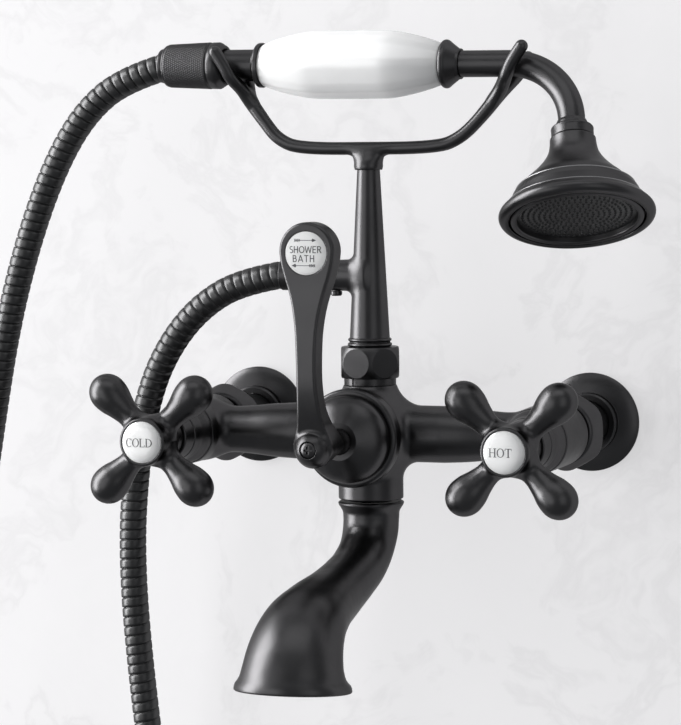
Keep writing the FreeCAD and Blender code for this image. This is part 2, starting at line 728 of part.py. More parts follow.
def riser_column():
    bead_low = nut_high + 0.3
    bead_gap = 0.7
    second = bead_low + riser_bead + bead_gap
    column = turned([
        (riser_foot, 0), (riser_foot, riser_lip_r), (riser_foot + riser_lip, riser_lip_r),
        (riser_foot + riser_lip, riser_neck_r), (bead_low, riser_neck_r),
        (bead_low, riser_bead_r - 0.4),
        (bead_low + riser_bead / 2, riser_bead_r, bead_low + riser_bead, riser_bead_r - 0.4),
        (bead_low + riser_bead, riser_low_r), (second, riser_low_r), (second, riser_bead_r - 0.6),
        (second + riser_bead / 2, riser_bead_r - 0.2, second + riser_bead, riser_bead_r - 0.6),
        (second + riser_bead, riser_low_r), (riser_top, riser_top_r), (riser_top + 3.0, riser_top_r),
        (riser_top + 3.0, 0)])
    flare = outlet_r + 4.0
    branch = turned([
        (0, 0), (0, flare), (8.0, flare), [(9.6, flare - 2.2), (13.0, outlet_r + 0.3), (15.0, outlet_r)],
        (outlet_reach, outlet_r), (outlet_reach, outlet_thread_r),
        (outlet_reach + outlet_thread_len, outlet_thread_r), (outlet_reach + outlet_thread_len, 0)])
    branch = branch.cut(rod(-1.0, 8.0, flare + 1.0))
    root = turned([(0, 0), (0, outlet_r), (9.0, outlet_r), (9.0, 0)])
    branch = facing(joined(branch, root), (-1, 0, 0), (0, 0, outlet_height))
    column = joined(column, branch)
    column = column.cut(rod(riser_foot - 1, outlet_height + 3.0, riser_bore_r))
    side_way = facing(
        rod(0, outlet_reach + outlet_thread_len + 1, riser_bore_r), (-1, 0, 0), (0, 0, outlet_height))
    screw_hole = rod(
        outlet_height - outlet_r - 2, outlet_height - riser_bore_r - 0.6, outlet_screw_r + seat_clear)
    screw_hole.translate(V(-outlet_screw_x(), 0, 0))
    return column.cut(side_way).cut(screw_hole)


def outlet_screw_x():
    return outlet_reach - 5.0


def outlet_screw():
    """Set screw in the underside of the hose outlet."""
    high = outlet_height - riser_bore_r - 0.8
    low = outlet_height - outlet_r - outlet_screw_len + 1.5
    screw = turned([
        (high, 0), (high, outlet_screw_r), (outlet_height - outlet_r - 0.2, outlet_screw_r),
        (outlet_height - outlet_r - 0.2, outlet_screw_r + 0.8), (low + 0.6, outlet_screw_r + 0.8),
        (low, outlet_screw_r + 0.2), (low, 0)])
    screw.translate(V(-outlet_screw_x(), 0, 0))
    return screw


# ---- cradle -------------------------------------------------------------------------------
def fork_prong(side, root_x, lean, spread, front):
    """One prong of a fork: under the tube, round its side and up, leaning outward."""
    rise = fork_front_rise if front else fork_back_rise
    tip_z = handset_left_z + rise
    face = -1 if front else 1

    def place(across, z):
        up = (z - fork_floor) / fork_height
        return (side * (root_x + lean * up), face * (across + spread * up), z)

    points = [
        (side * (root_x - fork_step), 0.0, fork_floor - cradle_split),
        place(fork_r * 0.42, fork_floor),
        place(fork_r * 0.93, fork_floor + fork_r * 0.42),
        place(fork_r, fork_floor + fork_r),
        place(fork_r, max(tip_z, fork_floor + fork_r + 1.5))]
    prong, _, _ = swept(points, cradle_rod_r, ends=(True, True))
    return prong


def cradle():
    """The yoke that carries the hand shower: boss, cross rod and a two-pronged fork each side."""
    boss_low = riser_top
    boss = turned([
        (boss_low, 0), (boss_low, cradle_boss_r - 0.6), (boss_low + 1.5, cradle_boss_r - 0.2),
        [(boss_low + 4.5, cradle_boss_r + 0.2), (cradle_height - 2.6, cradle_boss_r + 3.4)],
        (cradle_height, cradle_boss_r + 3.4), (cradle_height, 0)])
    wide = 3 * cradle_boss_r
    trim = Part.makeCylinder(cradle_rod_r + 3.6, 2 * wide, V(-wide, 0, cradle_height - 1.0), V(1, 0, 0))
    core = turned([(boss_low, 0), (boss_low, cradle_boss_r - 0.6), (boss_low + 1.5, cradle_boss_r - 0.2),
                   (cradle_height, cradle_boss_r - 0.4), (cradle_height, 0)])
    yoke = joined(core, boss.common(trim))
    forks = (
        (-1, fork_left, fork_left_lean, fork_left_spread),
        (1, fork_right, fork_right_lean, fork_right_spread))
    for side, root_x, lean, spread in forks:
        root = (side * (root_x - fork_step), 0, fork_floor - cradle_split)
        run = math.hypot(root_x - fork_step - cradle_corner, fork_floor - cradle_split - cradle_height)
        arm, _, _ = swept(
            [(0, 0, cradle_height), (side * cradle_corner, 0, cradle_height), root],
            cradle_rod_r, cradle_bend / run)
        yoke = yoke.fuse(arm)
        for front in (True, False):
            yoke = yoke.fuse(fork_prong(side, root_x, lean, spread, front))
    top = Part.makeBox(2 * wide, 2 * wide, wide, V(-wide, -wide, cradle_height + cradle_rod_r - 0.2))
    socket = rod(riser_top - 1, riser_top + 3.0 + wall_clear, riser_top_r + seat_clear)
    return yoke.cut(top).cut(socket).removeSplitter()


# ---- hand shower --------------------------------------------------------------------------
def handset_frame():
    roll = FreeCAD.Rotation(V(1, 0, 0), -handset_roll)
    tilt = FreeCAD.Rotation(V(0, 1, 0), handset_tilt)
    return FreeCAD.Placement(V(0, -body_reach, handset_z), tilt.multiply(roll))


def on_handset(shape):
    """A shape built along +X about the hand shower's own axis, laid in the cradle."""
    out = shape.copy()
    out.Placement = handset_frame().multiply(out.Placement)
    return out


def along_handset(shape):
    return on_handset(facing(shape, (1, 0, 0), (0, 0, 0)))


def on_head(shape):
    """A shape built along +Z from the elbow's virtual corner, turned down along the head's axis."""
    turn = math.radians(elbow_turn)
    return on_handset(facing(shape, (math.cos(turn), 0, -math.sin(turn)), (elbow_corner, 0, 0)))


def handset_shank():
    """Threaded tail, visible shank and the tie tube that runs through the grip."""
    nut_face = -(hose_nut_end - hose_nut_knurl - hose_nut_collar)
    collar_face = -(grip_left + collar_left_len)
    thread_low = -(hose_nut_end - 14.0)
    return turned([
        (thread_low, tie_tube_r - tube_wall), (thread_low, hose_nut_thread_r - seat_clear),
        (nut_face - 6.0, hose_nut_thread_r - seat_clear), (nut_face - 6.0, shank_r),
        (collar_face - 1.2, shank_r),
        (collar_face, shank_r + 0.6), (collar_face, tie_tube_r), (grip_right + 3.0, tie_tube_r),
        (grip_right + 3.0, tie_tube_r - tube_wall)])


def left_collar():
    low, high = -(grip_left + collar_left_len), -grip_left
    return turned([
        (low, tie_tube_r + seat_clear), (low, collar_left_r - 1.2),
        (low + 0.4, collar_left_r - 0.3, low + 1.3, collar_left_r), (high, collar_left_r),
        (high, tie_tube_r + seat_clear)])


def right_collar():
    low, high = grip_right, grip_right + collar_right_len
    return turned([
        (low, tie_tube_r + seat_clear), (low, collar_right_r - 1.0),
        (low + 1.6, collar_right_r + 0.4, low + 3.6, collar_right_r - 0.4), (high - 1.2, neck_r + 1.1),
        (high, neck_r + 0.9), (high, neck_r - tube_wall), (low + 3.0, neck_r - tube_wall),
        (low + 3.0, tie_tube_r + seat_clear)])


def porcelain_grip():
    """Eight-sided grip that tapers to a round end at each collar."""
    stations = [
        (-grip_left, grip_end_r), (-grip_left + 7.0, grip_end_r + 2.1), (-grip_flat_left, grip_mid_r),
        (grip_flat_right, grip_mid_r), (grip_right - 6.0, grip_end_r + 1.6), (grip_right, grip_end_r)]
    wires = []
    for x, radius in stations:
        corners = [math.radians(22.5 + 45.0 * k) for k in range(9)]
        wires.append(Part.makePolygon([V(x, radius * math.cos(t), radius * math.sin(t)) for t in corners]))
    octagon = Part.makeLoft(wires, True, True)
    rounded = facing(turned([
        (-grip_left, 0), (-grip_left, grip_end_r - 0.5),
        [(-grip_left + 8.0, grip_round_left), (-grip_flat_left + 1.0, grip_round_mid)],
        (grip_flat_right - 1.0, grip_round_mid),
        [(grip_right - 7.0, grip_round_right), (grip_right, grip_end_r - 0.5)], (grip_right, 0)]),
        (1, 0, 0), (0, 0, 0))
    bore = facing(rod(-grip_left - 1.0, grip_right + 1.0, tie_tube_r + wall_clear), (1, 0, 0), (0, 0, 0))
    return on_handset(octagon.common(rounded).cut(bore))


def elbow_path(start):
    turn = math.radians(elbow_turn)
    radius = elbow_tangent / math.tan(turn / 2)
    first = V(elbow_corner - elbow_tangent, 0, 0)
    half = turn / 2
    middle = V(first.x + radius * math.sin(half), 0, -radius * (1 - math.cos(half)))
    last = V(elbow_corner + elbow_tangent * math.cos(turn), 0, -elbow_tangent * math.sin(turn))
    end = V(elbow_corner + (head_start + 4.0) * math.cos(turn), 0, -(head_start + 4.0) * math.sin(turn))
    return Part.Wire([
        Part.LineSegment(V(start, 0, 0), first).toShape(), Part.Arc(first, middle, last).toShape(),
        Part.LineSegment(last, end).toShape()])


def handset_elbow():
    start = grip_right + 3.2
    ring = Part.Wire(Part.makeCircle(neck_r, V(start, 0, 0), V(1, 0, 0)))
    inner = Part.Wire(Part.makeCircle(neck_r - tube_wall, V(start, 0, 0), V(1, 0, 0)))
    path = elbow_path(start)
    outer = path.makePipeShell([ring], True, False)
    bore = path.makePipeShell([inner], True, False)
    trim = facing(
        tube(grip_right, grip_right + collar_right_len, 12.0, neck_r - tube_wall), (1, 0, 0), (0, 0, 0))
    return on_handset(outer.cut(bore).cut(trim))


def neck_collar():
    low = head_start - head_seat_len - neck_ring_len
    high = head_start
    return on_head(turned([
        (low, neck_r + seat_clear), (low, neck_r + 0.5), (low + 1.2, neck_ring_r),
        (low + neck_ring_len, neck_ring_r + 0.5),
        (low + neck_ring_len, head_seat_r - 1.0),
        (low + neck_ring_len + 0.4, head_seat_r - 0.2, low + neck_ring_len + 1.6, head_seat_r),
        (high - 0.5, head_seat_r),
        (high, head_seat_r - 0.6), (high, neck_r + seat_clear)]))


def shower_bell():
    """Trumpet-shaped shell with two stepped bands and a rolled rim."""
    start, rim = head_start, head_rim
    outer = [
        (start, 9.6), (start + 0.6, 10.6), [(start + 4.0, 11.1), (start + 8.0, 12.2), (start + 13.0, 15.8),
                                             (start + 18.0, 20.6), (start + 23.4, 25.0)],
        (start + 23.8, 26.2), [(start + 27.0, 28.2), (start + 31.4, 29.8)], (start + 31.8, 30.9),
        [(rim - 5.2, 31.6), (rim - 3.4, 32.6)],
        (rim - 2.7, rim_r + 0.6), (rim, rim_r + rim_bead_r, rim + 2.7, rim_r + 0.6),
        (rim + 3.6, rim_r - 0.9)]
    inner = [
        (rim + 3.6, spray_ring_r + seat_clear), (rim - 0.8, spray_ring_r + seat_clear),
        (rim - 0.8, spray_r - 1.0),
        (rim - 5.5, spray_r - 1.4), (start + 24.0, 23.0), (start + 14.0, 13.2), (start + 9.0, neck_r + 1.4),
        (start + 4.6, neck_r + 1.4), (start + 4.6, neck_r + seat_clear), (start, neck_r + seat_clear)]
    return on_head(turned(outer + inner))


def spray_ring():
    """Screwed ring that holds the spray plate in the bell's mouth."""
    low, high = head_rim - 0.8 + spray_thick, head_rim + 3.2
    return on_head(turned([
        (low, spray_r - 1.8), (low, spray_ring_r), (high, spray_ring_r), (high, spray_r + 0.4),
        (low + 0.8, spray_r - 1.8)]))


def spray_plate():
    low = head_rim - 0.8
    plate = rod(low, low + spray_thick, spray_ring_r - wall_clear)
    holes = [rod(low - 1, low + spray_thick + 1, nozzle_r)]
    for ring in nozzle_rings:
        count = int(round(2 * math.pi * ring / nozzle_pitch))
        for k in range(count):
            turn = 2 * math.pi * k / count
            hole = rod(low - 1, low + spray_thick + 1, nozzle_r)
            hole.translate(V(ring * math.cos(turn), ring * math.sin(turn), 0))
            holes.append(hole)
    return on_head(plate.cut(Part.makeCompound(holes)))


def hose_nut():
    """Knurled cone nut that holds the hose's end to the hand shower."""
    far = -hose_nut_end
    knurl_end = far + hose_nut_knurl
    near = knurl_end + hose_nut_collar
    thread = hose_nut_thread_r + seat_clear
    return along_handset(turned([
        (far, hose_nut_bore_r), (far, hose_nut_small_r - 0.8), (far + 1.0, hose_nut_small_r),
        (knurl_end - 0.6, hose_nut_r), (knurl_end, hose_nut_r - 0.5), (knurl_end + 0.6, hose_nut_r),
        (near - 3.0, hose_nut_r), (near, hose_nut_r - 1.8), (near, shank_r + 0.3),
        (near - 5.7, shank_r + 0.3),
        (near - 5.7, thread), (far + 11.0, thread), (far + 11.0, hose_nut_bore_r)]))


# ---- hose ---------------------------------------------------------------------------------
def hose_route():
    """Points of the free hose, from the hand shower's nut round its hanging loop to the riser."""
    tilt = math.radians(handset_tilt)
    start_x = -hose_nut_end * math.cos(tilt)
    start_z = handset_z + hose_nut_end * math.sin(tilt)
    return [
        (start_x, -body_reach, start_z), (-127.4, -80.9, 172.6), (-148.4, -81.0, 157.2),
        (-165.2, -81.0, 132.3),
        (-180.8, -81.0, 95.5), (-194.4, -81.0, 49.5), (-205.5, -80.8, -9.5), (-217.0, -80.4, -76.0),
        (-230.0, -80.0, -155.0), (-242.0, -79.4, -238.0), (-251.0, -78.7, -320.0), (-253.6, -78.0, -392.0),
        (-252.0, -77.2, -454.0), (-209.5, -76.0, -497.5), (-148.5, -74.8, -497.5), (-106.5, -73.6, -454.0),
        (-104.6, -72.6, -389.0), (-108.0, -71.8, -306.0), (-114.6, -71.0, -222.0), (-126.0, -71.2, -142.0),
        (-131.6, -72.6, -68.0), (-126.4, -74.6, -14.0), (-117.4, -75.6, 21.0), (-104.6, -76.8, 44.0),
        (-87.9, -78.2, 61.2), (-66.7, -79.6, 72.6),
        (-(outlet_reach + outlet_nut_len + ferrule_len), -body_reach, outlet_height)]


def hose():
    """The hose as a plain tube, trimmed square to the faces of its two fittings."""
    route = [V(*p) for p in hose_route()]
    section = math.pi * (hose_d / 2) ** 2
    route[0] += (route[0] - route[1]).normalize() * hose_sink
    route[-1] += (route[-1] - route[-2]).normalize() * hose_sink
    tube_solid, radii, length = swept(route, hose_d / 2)
    print("hose: length %.0f mm, section x length %.0f, volume %.0f" % (
        length, section * length, tube_solid.Volume))
    print("hose: radii", " ".join("%.0f" % r for r in radii))
    at_nut = along_handset(rod(-hose_nut_end - hose_gap, 4 * hose_sink - hose_nut_end, hose_d))
    ferrule_face = (-(outlet_reach + outlet_nut_len + ferrule_len), -body_reach, outlet_height)
    at_ferrule = facing(rod(0, 4 * hose_sink, hose_d), (1, 0, 0), ferrule_face)
    return tube_solid.cut(at_nut).cut(at_ferrule)


def outlet_nut():
    """Plain nut and crimp ferrule at the hose's lower end, on the riser's outlet."""
    low = outlet_reach + hose_washer
    high = outlet_reach + outlet_nut_len
    return facing(turned([
        (low, outlet_thread_r + seat_clear), (low, outlet_nut_r - 0.6), (low + 0.6, outlet_nut_r),
        (high - 0.4, outlet_nut_r), (high, outlet_nut_r - 0.4), (high, ferrule_r),
        (high + ferrule_len - 0.6, ferrule_r), (high + ferrule_len, ferrule_r - 0.6),
        (high + ferrule_len, riser_bore_r), (low + outlet_thread_len, riser_bore_r),
        (low + outlet_thread_len, outlet_thread_r + seat_clear)]),
        (-1, 0, 0), (0, -body_reach, outlet_height))


def outlet_washer():
    return facing(tube(outlet_reach, outlet_reach + hose_washer, outlet_r, outlet_thread_r + seat_clear),
                  (-1, 0, 0), (0, -body_reach, outlet_height))


def handset_washer():
    low = -hose_nut_end + 11.0
    return along_handset(tube(low, low + 2.9, hose_nut_thread_r - 0.3, tie_tube_r - tube_wall))


# ---- spout --------------------------------------------------------------------------------
def spout_sections():
    """Centre (reach, height), turn of the section from level, half width and half depth."""
    mouth = -spout_mouth_drop
    reach = spout_mouth_reach
    r = spout_neck_r
    return [
        (body_reach, body_bottom - 7.0, 0.0, r + 0.3, r + 0.3),
        (body_reach + 0.8, body_bottom - 14.5, 12.0, r, r),
        (body_reach + 5.8, body_bottom - 22.0, 40.0, r + 0.3, r + 0.3),
        (body_reach + 17.5, body_bottom - 28.5, 65.0, r + 0.5, r + 0.5),
        (body_reach + 32.0, body_bottom - 33.0, 73.0, r + 0.6, r + 0.6),
        (body_reach + 50.0, body_bottom - 37.3, 77.0, r + 1.1, r + 0.9),
        (reach - 30.0, mouth + 33.6, 76.0, r + 3.2, r + 2.5),
        (reach - 16.5, mouth + 28.5, 60.0, r + 5.3, r + 4.2),
        (reach - 7.5, mouth + 21.8, 41.0, r + 7.2, r + 5.7),
        (reach - 2.5, mouth + 15.2, 23.0, r + 8.6, r + 6.8),
        (reach - 0.5, mouth + 9.6, 9.0, r + 9.6, r + 7.9),
        (reach, mouth + 4.6, 1.0, spout_mouth_x - 2.0, spout_mouth_y - 1.3),
        (reach, mouth + 2.4, 0.0, spout_mouth_x - 0.1, spout_mouth_y - 0.1),
        (reach, mouth, 0.0, spout_mouth_x, spout_mouth_y)]


def spout_shell(inset, drop):
    wires = []
    for reach, height, tilt, half_x, half_y in spout_sections():
        ring = Part.Ellipse(V(0, 0, 0), half_x - inset, half_y - inset).toShape()
        wire = Part.Wire(ring)
        wire.Placement = FreeCAD.Placement(V(0, -reach, height - drop), FreeCAD.Rotation(V(1, 0, 0), -tilt))
        wires.append(wire)
    return Part.makeLoft(wires, True)


def spout():
    top = body_bottom - spout_groove
    low = top - spout_collar_len
    collar = on_riser(turned([
        (low - 1.6, 0), (low - 1.6, spout_neck_r + 0.3), (low, spout_collar_r - 1.4),
        (low + spout_collar_len / 2, spout_collar_r, top - 0.6, spout_collar_r - 0.3),
        (top, spout_collar_r - 1.0),
        (top, spout_spigot_r), (top + spout_spigot, spout_spigot_r), (top + spout_spigot, 0)]))
    bore = on_riser(rod(low - 4.0, top + spout_spigot + 1, spout_spigot_r - spout_wall))
    outside = joined(spout_shell(0.0, 0.0), collar)
    return outside.cut(spout_shell(spout_wall, 0.0)).cut(bore)


# ---- list of pieces -----------------------------------------------------------------------
def pieces():
    out = {}
    for name, x in (("cold", -half_centres), ("hot", half_centres)):
        out[name + "_escutcheon"] = from_wall(escutcheon(), x)
        out[name + "_inlet_tail"] = from_wall(inlet_tail(), x)
        out[name + "_union_nut"] = from_wall(union_nut(), x)
        out[name + "_union_washer"] = from_wall(
            tube(tail_face, washer_face, tail_lip_r, water_way_r + 0.5), x)
        out[name + "_bonnet"] = from_wall(valve_bonnet(), x)
        out[name + "_cartridge"] = from_wall(cartridge_shell(), x)
        out[name + "_fixed_disc"] = from_wall(fixed_disc(), x)
        out[name + "_moving_disc"] = from_wall(moving_disc(), x)
        out[name + "_stem"] = from_wall(valve_stem(), x)
        out[name + "_handle"] = from_wall(cross_handle(), x)
        out[name + "_handle_screw"] = from_wall(handle_screw(), x)
        out[name + "_button"] = from_wall(porcelain_button(), x)
    out["body_casting"] = body_casting()
    out["diverter_ring"] = from_wall(diverter_ring())
    out["diverter_bonnet"] = from_wall(diverter_dome())
    out["diverter_plug"] = from_wall(diverter_plug())
    out["diverter_stem"] = from_wall(diverter_stem())
    out["diverter_lever"] = from_wall(diverter_lever())
    out["lever_index"] = from_wall(lever_index())
    out["lever_screw"] = from_wall(lever_screw())
    out["riser_lock_ring"] = on_riser(riser_lock_ring())
    out["riser_nut"] = on_riser(riser_nut())
    out["riser_washer"] = on_riser(tube(thread_top, riser_foot, riser_lip_r, riser_bore_r + 0.5))
    out["riser_column"] = on_riser(riser_column())
    out["outlet_screw"] = on_riser(outlet_screw())
    out["cradle"] = on_riser(cradle())
    out["handset_shank"] = along_handset(handset_shank())
    out["grip_left_collar"] = along_handset(left_collar())
    out["porcelain_grip"] = porcelain_grip()
    out["grip_right_collar"] = along_handset(right_collar())
    out["handset_elbow"] = handset_elbow()
    out["neck_collar"] = neck_collar()
    out["shower_bell"] = shower_bell()
    out["spray_plate"] = spray_plate()
    out["spray_ring"] = spray_ring()
    out["hose_nut"] = hose_nut()
    out["handset_washer"] = handset_washer()
    out["outlet_nut"] = outlet_nut()
    out["outlet_washer"] = outlet_washer()
    out["hose"] = hose()
    out["spout"] = spout()
    return out


os.makedirs("parts", exist_ok=True)
for node, shape in pieces().items():
    if not shape.isValid() or len(shape.Solids) != 1:
        print("check", node, "valid", shape.isValid(), "solids", len(shape.Solids))
    shape.exportStep("parts/" + node + ".step")
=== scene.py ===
import json
import math

import bpy
import numpy as np
from mathutils import Matrix, Vector
from mathutils.bvhtree import BVHTree


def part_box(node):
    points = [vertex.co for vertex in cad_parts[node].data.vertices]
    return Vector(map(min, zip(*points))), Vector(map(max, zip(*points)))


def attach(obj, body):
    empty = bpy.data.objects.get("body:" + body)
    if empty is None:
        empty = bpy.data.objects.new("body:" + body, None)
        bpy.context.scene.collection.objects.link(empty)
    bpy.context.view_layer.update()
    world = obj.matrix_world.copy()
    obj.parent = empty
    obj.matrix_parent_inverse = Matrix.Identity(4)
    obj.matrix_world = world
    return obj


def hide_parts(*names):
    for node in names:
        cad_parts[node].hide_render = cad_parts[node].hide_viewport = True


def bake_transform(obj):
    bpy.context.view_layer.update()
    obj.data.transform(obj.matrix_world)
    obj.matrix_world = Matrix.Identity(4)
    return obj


# A wall-mounted bath faucet with hand shower: its looks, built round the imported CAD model.
# Metres: X along the wall to the hot side, Y into the wall, Z up. The forms are written in
# millimetres as (along the wall, away from the wall, up).

MM = 0.001
to_scene = np.array((1.0, -1.0, 1.0))       # away from the wall is minus Y

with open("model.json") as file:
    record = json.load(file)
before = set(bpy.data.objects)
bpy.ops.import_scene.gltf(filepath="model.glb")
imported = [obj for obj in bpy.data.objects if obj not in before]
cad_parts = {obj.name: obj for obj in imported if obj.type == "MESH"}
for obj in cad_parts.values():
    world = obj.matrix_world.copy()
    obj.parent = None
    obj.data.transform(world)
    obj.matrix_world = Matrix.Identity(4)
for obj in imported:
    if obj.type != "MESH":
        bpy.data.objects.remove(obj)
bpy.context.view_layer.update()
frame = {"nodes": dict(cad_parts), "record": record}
nodes = frame["nodes"]


# ---- camera ----
def add_camera():
    """The photograph's view: from in front, a little to the right and a little above."""
    place = Vector((0.4558, -1.3841, 0.1360))
    azimuth = math.radians(19.87)
    elevation = math.radians(4.22)
    roll = math.radians(-0.495)
    run = math.cos(elevation)
    ahead = Vector((-math.sin(azimuth) * run, math.cos(azimuth) * run, -math.sin(elevation)))
    right = Vector((math.cos(azimuth), math.sin(azimuth), 0.0))
    right.rotate(Matrix.Rotation(-roll, 3, ahead))
    up = right.cross(ahead)
    data = bpy.data.cameras.new("camera")
    data.lens = 142.05
    data.sensor_width = 36.0
    camera = bpy.data.objects.new("camera", data)
    camera.matrix_world = Matrix.Translation(place) @ Matrix((right, up, -ahead)).transposed().to_4x4()
    bpy.context.scene.collection.objects.link(camera)
    bpy.context.scene.camera = camera


add_camera()
bpy.context.scene.view_settings.view_transform = "Standard"


# ---- helpers that read and build meshes ----
def box_centre(node):
    low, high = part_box(node)
    return (low + high) / 2


def turn_by(degrees):
    """Cosine and sine of a turn."""
    return math.cos(math.radians(degrees)), math.sin(math.radians(degrees))


def add_mesh(name, vertices, faces, smooth=True):
    mesh = bpy.data.meshes.new(name)
    mesh.from_pydata([tuple(v) for v in vertices], [], [tuple(f) for f in faces])
    mesh.validate()
    mesh.polygons.foreach_set("use_smooth", [smooth] * len(mesh.polygons))
    piece = bpy.data.objects.new(name, mesh)
    bpy.context.scene.collection.objects.link(piece)
    return piece


def tube_faces(rings, around, first=0):
    """Quads from each ring of vertices to the next one, from the vertex first on."""
    faces = []
    for ring in range(rings - 1):
        here = first + ring * around
        there = here + around
        for k in range(around):
            n = (k + 1) % around
            faces.append((here + k, here + n, there + n, there + k))
    return faces


def nurbs_line(points, steps=48):
    """Points along the NURBS spline that has these control points."""
    data = bpy.data.curves.new("line", "CURVE")
    data.dimensions = "3D"
    spline = data.splines.new("NURBS")
    spline.points.add(len(points) - 1)
    for knot, point in zip(spline.points, points):
        knot.co = (*point, 1.0)
    spline.order_u = 3
    spline.use_endpoint_u = True
    spline.resolution_u = steps
    holder = bpy.data.objects.new("line", data)
    bpy.context.scene.collection.objects.link(holder)
    bpy.context.view_layer.update()
    mesh = bpy.data.meshes.new_from_object(holder)
    line = [v.co.copy() for v in mesh.vertices]
    bpy.data.objects.remove(holder)
    bpy.data.curves.remove(data)
    bpy.data.meshes.remove(mesh)
    return line


class Rail:
    """A line with a frame that turns as little as it can, read by the distance along it."""

    def __init__(self, line):
        self.points = np.array(line)
        steps = np.diff(self.points, axis=0)
        runs = np.linalg.norm(steps, axis=1)
        self.along = np.concatenate([[0.0], np.cumsum(runs)])
        tangents = steps / runs[:, None]
        tangents = np.vstack([tangents[:1], tangents[:-1] + tangents[1:], tangents[-1:]])
        self.tangents = tangents / np.linalg.norm(tangents, axis=1)[:, None]
        side = np.array([0.0, -1.0, 0.0])
        sides = []
        for tangent in self.tangents:
            side = side - tangent * side.dot(tangent)
            side = side / np.linalg.norm(side)
            sides.append(side)
        self.sides = np.array(sides)
        self.length = self.along[-1]

    def at(self, s):
        """Centre and two cross directions at each distance in s, straight on past both ends."""
        def read(values):
            return np.stack([np.interp(s, self.along, values[:, k]) for k in range(3)], axis=1)
        tangent = read(self.tangents)
        tangent /= np.linalg.norm(tangent, axis=1)[:, None]
        side = read(self.sides)
        side -= tangent * (side * tangent).sum(axis=1)[:, None]
        side /= np.linalg.norm(side, axis=1)[:, None]
        over = s - np.clip(s, 0.0, self.length)
        return read(self.points) + tangent * over[:, None], side, np.cross(tangent, side)


# ---- hose ----
hose_route = [                              # millimetres, with Y into the wall
    (-104.3, -80.8, 178.6), (-127.4, -80.9, 172.6), (-148.4, -81.0, 157.2), (-165.2, -81.0, 132.3),
    (-180.8, -81.0, 95.5), (-194.4, -81.0, 49.5), (-205.5, -80.8, -9.5), (-217.0, -80.4, -76.0),
    (-230.0, -80.0, -155.0), (-242.0, -79.4, -238.0), (-251.0, -78.7, -320.0), (-253.6, -78.0, -392.0),
    (-252.0, -77.2, -454.0), (-209.5, -76.0, -497.5), (-148.5, -74.8, -497.5), (-106.5, -73.6, -454.0),
    (-104.6, -72.6, -389.0), (-108.0, -71.8, -306.0), (-114.6, -71.0, -222.0), (-126.0, -71.2, -142.0),
    (-131.6, -72.6, -68.0), (-126.4, -74.6, -14.0), (-117.4, -75.6, 21.0), (-104.6, -76.8, 44.0),
    (-87.9, -78.2, 61.2), (-66.7, -79.6, 72.6), (-45.0, -80.8, 76.2)]


def hose_sheath(rail):
    """The wound metal strip: a helix of nearly flat ribs with a narrow groove between turns."""
    pitch = 4.9 * MM
    around = 26
    rib = [                                 # share of the pitch, radius
        (0.00, 5.95), (0.05, 6.0), (0.08, 6.55), (0.12, 6.7), (0.3, 6.75), (0.7, 6.73), (0.88, 6.66),
        (0.945, 6.4)]
    lead_in = 1.3 * pitch                   # the strip starts inside its nuts
    turns = int((rail.length + 2 * lead_in) / pitch)
    steps = turns * around
    k = np.arange(steps + 1)
    angle = 2 * math.pi * k / around
    vertices = np.zeros((steps + 1, len(rib), 3))
    for row, (share, radius) in enumerate(rib):
        centre, side, other = rail.at((k / around + share) * pitch - lead_in)
        out = side * np.cos(angle)[:, None] + other * np.sin(angle)[:, None]
        vertices[:, row] = centre + out * radius * MM
    rows = len(rib)
    faces = []
    for i in range(steps - around):
        a, b = i * rows, (i + 1) * rows
        faces += [(a + row, b + row, b + row + 1, a + row + 1) for row in range(rows - 1)]
        faces.append((a + rows - 1, b + rows - 1, b + around * rows, a + around * rows))
    return add_mesh("hose_sheath", vertices.reshape(-1, 3), faces)


def build_hose():
    line = nurbs_line([Vector(p) * MM for p in hose_route])
    rail = Rail(line)
    hose = hose_sheath(rail)
    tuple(line[0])
    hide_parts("hose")
    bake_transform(hose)
    return hose


hose = build_hose()


# ---- materials ----
def new_material(name):
    material = bpy.data.materials.new(name)
    material.use_nodes = True
    return material, material.node_tree, material.node_tree.nodes["Principled BSDF"]


def object_space(tree):
    return tree.nodes.new("ShaderNodeTexCoord").outputs["Object"]


def noise_node(tree, place, scale, detail, roughness):
    noise = tree.nodes.new("ShaderNodeTexNoise")
    noise.inputs["Scale"].default_value = scale
    noise.inputs["Detail"].default_value = detail
    noise.inputs["Roughness"].default_value = roughness
    tree.links.new(place, noise.inputs["Vector"])
    return noise


def add_noise(tree, scale, detail=3.0, roughness=0.5):
    """A noise texture laid in the object's own space, in metres."""
    return noise_node(tree, object_space(tree), scale, detail, roughness).outputs["Fac"]


def add_range(tree, value, low, high):
    """The value's middle range spread from low to high."""
    spread = tree.nodes.new("ShaderNodeMapRange")
    spread.inputs["From Min"].default_value = 0.3
    spread.inputs["From Max"].default_value = 0.7
    spread.inputs["To Min"].default_value = low
    spread.inputs["To Max"].default_value = high
    tree.links.new(value, spread.inputs["Value"])
    return spread.outputs["Result"]


def add_ramp(tree, value, stops):
    ramp = tree.nodes.new("ShaderNodeValToRGB")
    elements = ramp.color_ramp.elements
    while len(elements) < len(stops):
        elements.new(0.5)
    for element, (place, colour) in zip(elements, stops):
        element.position = place
        element.color = (*colour, 1.0)
    tree.links.new(value, ramp.inputs["Fac"])
    return ramp.outputs["Color"]


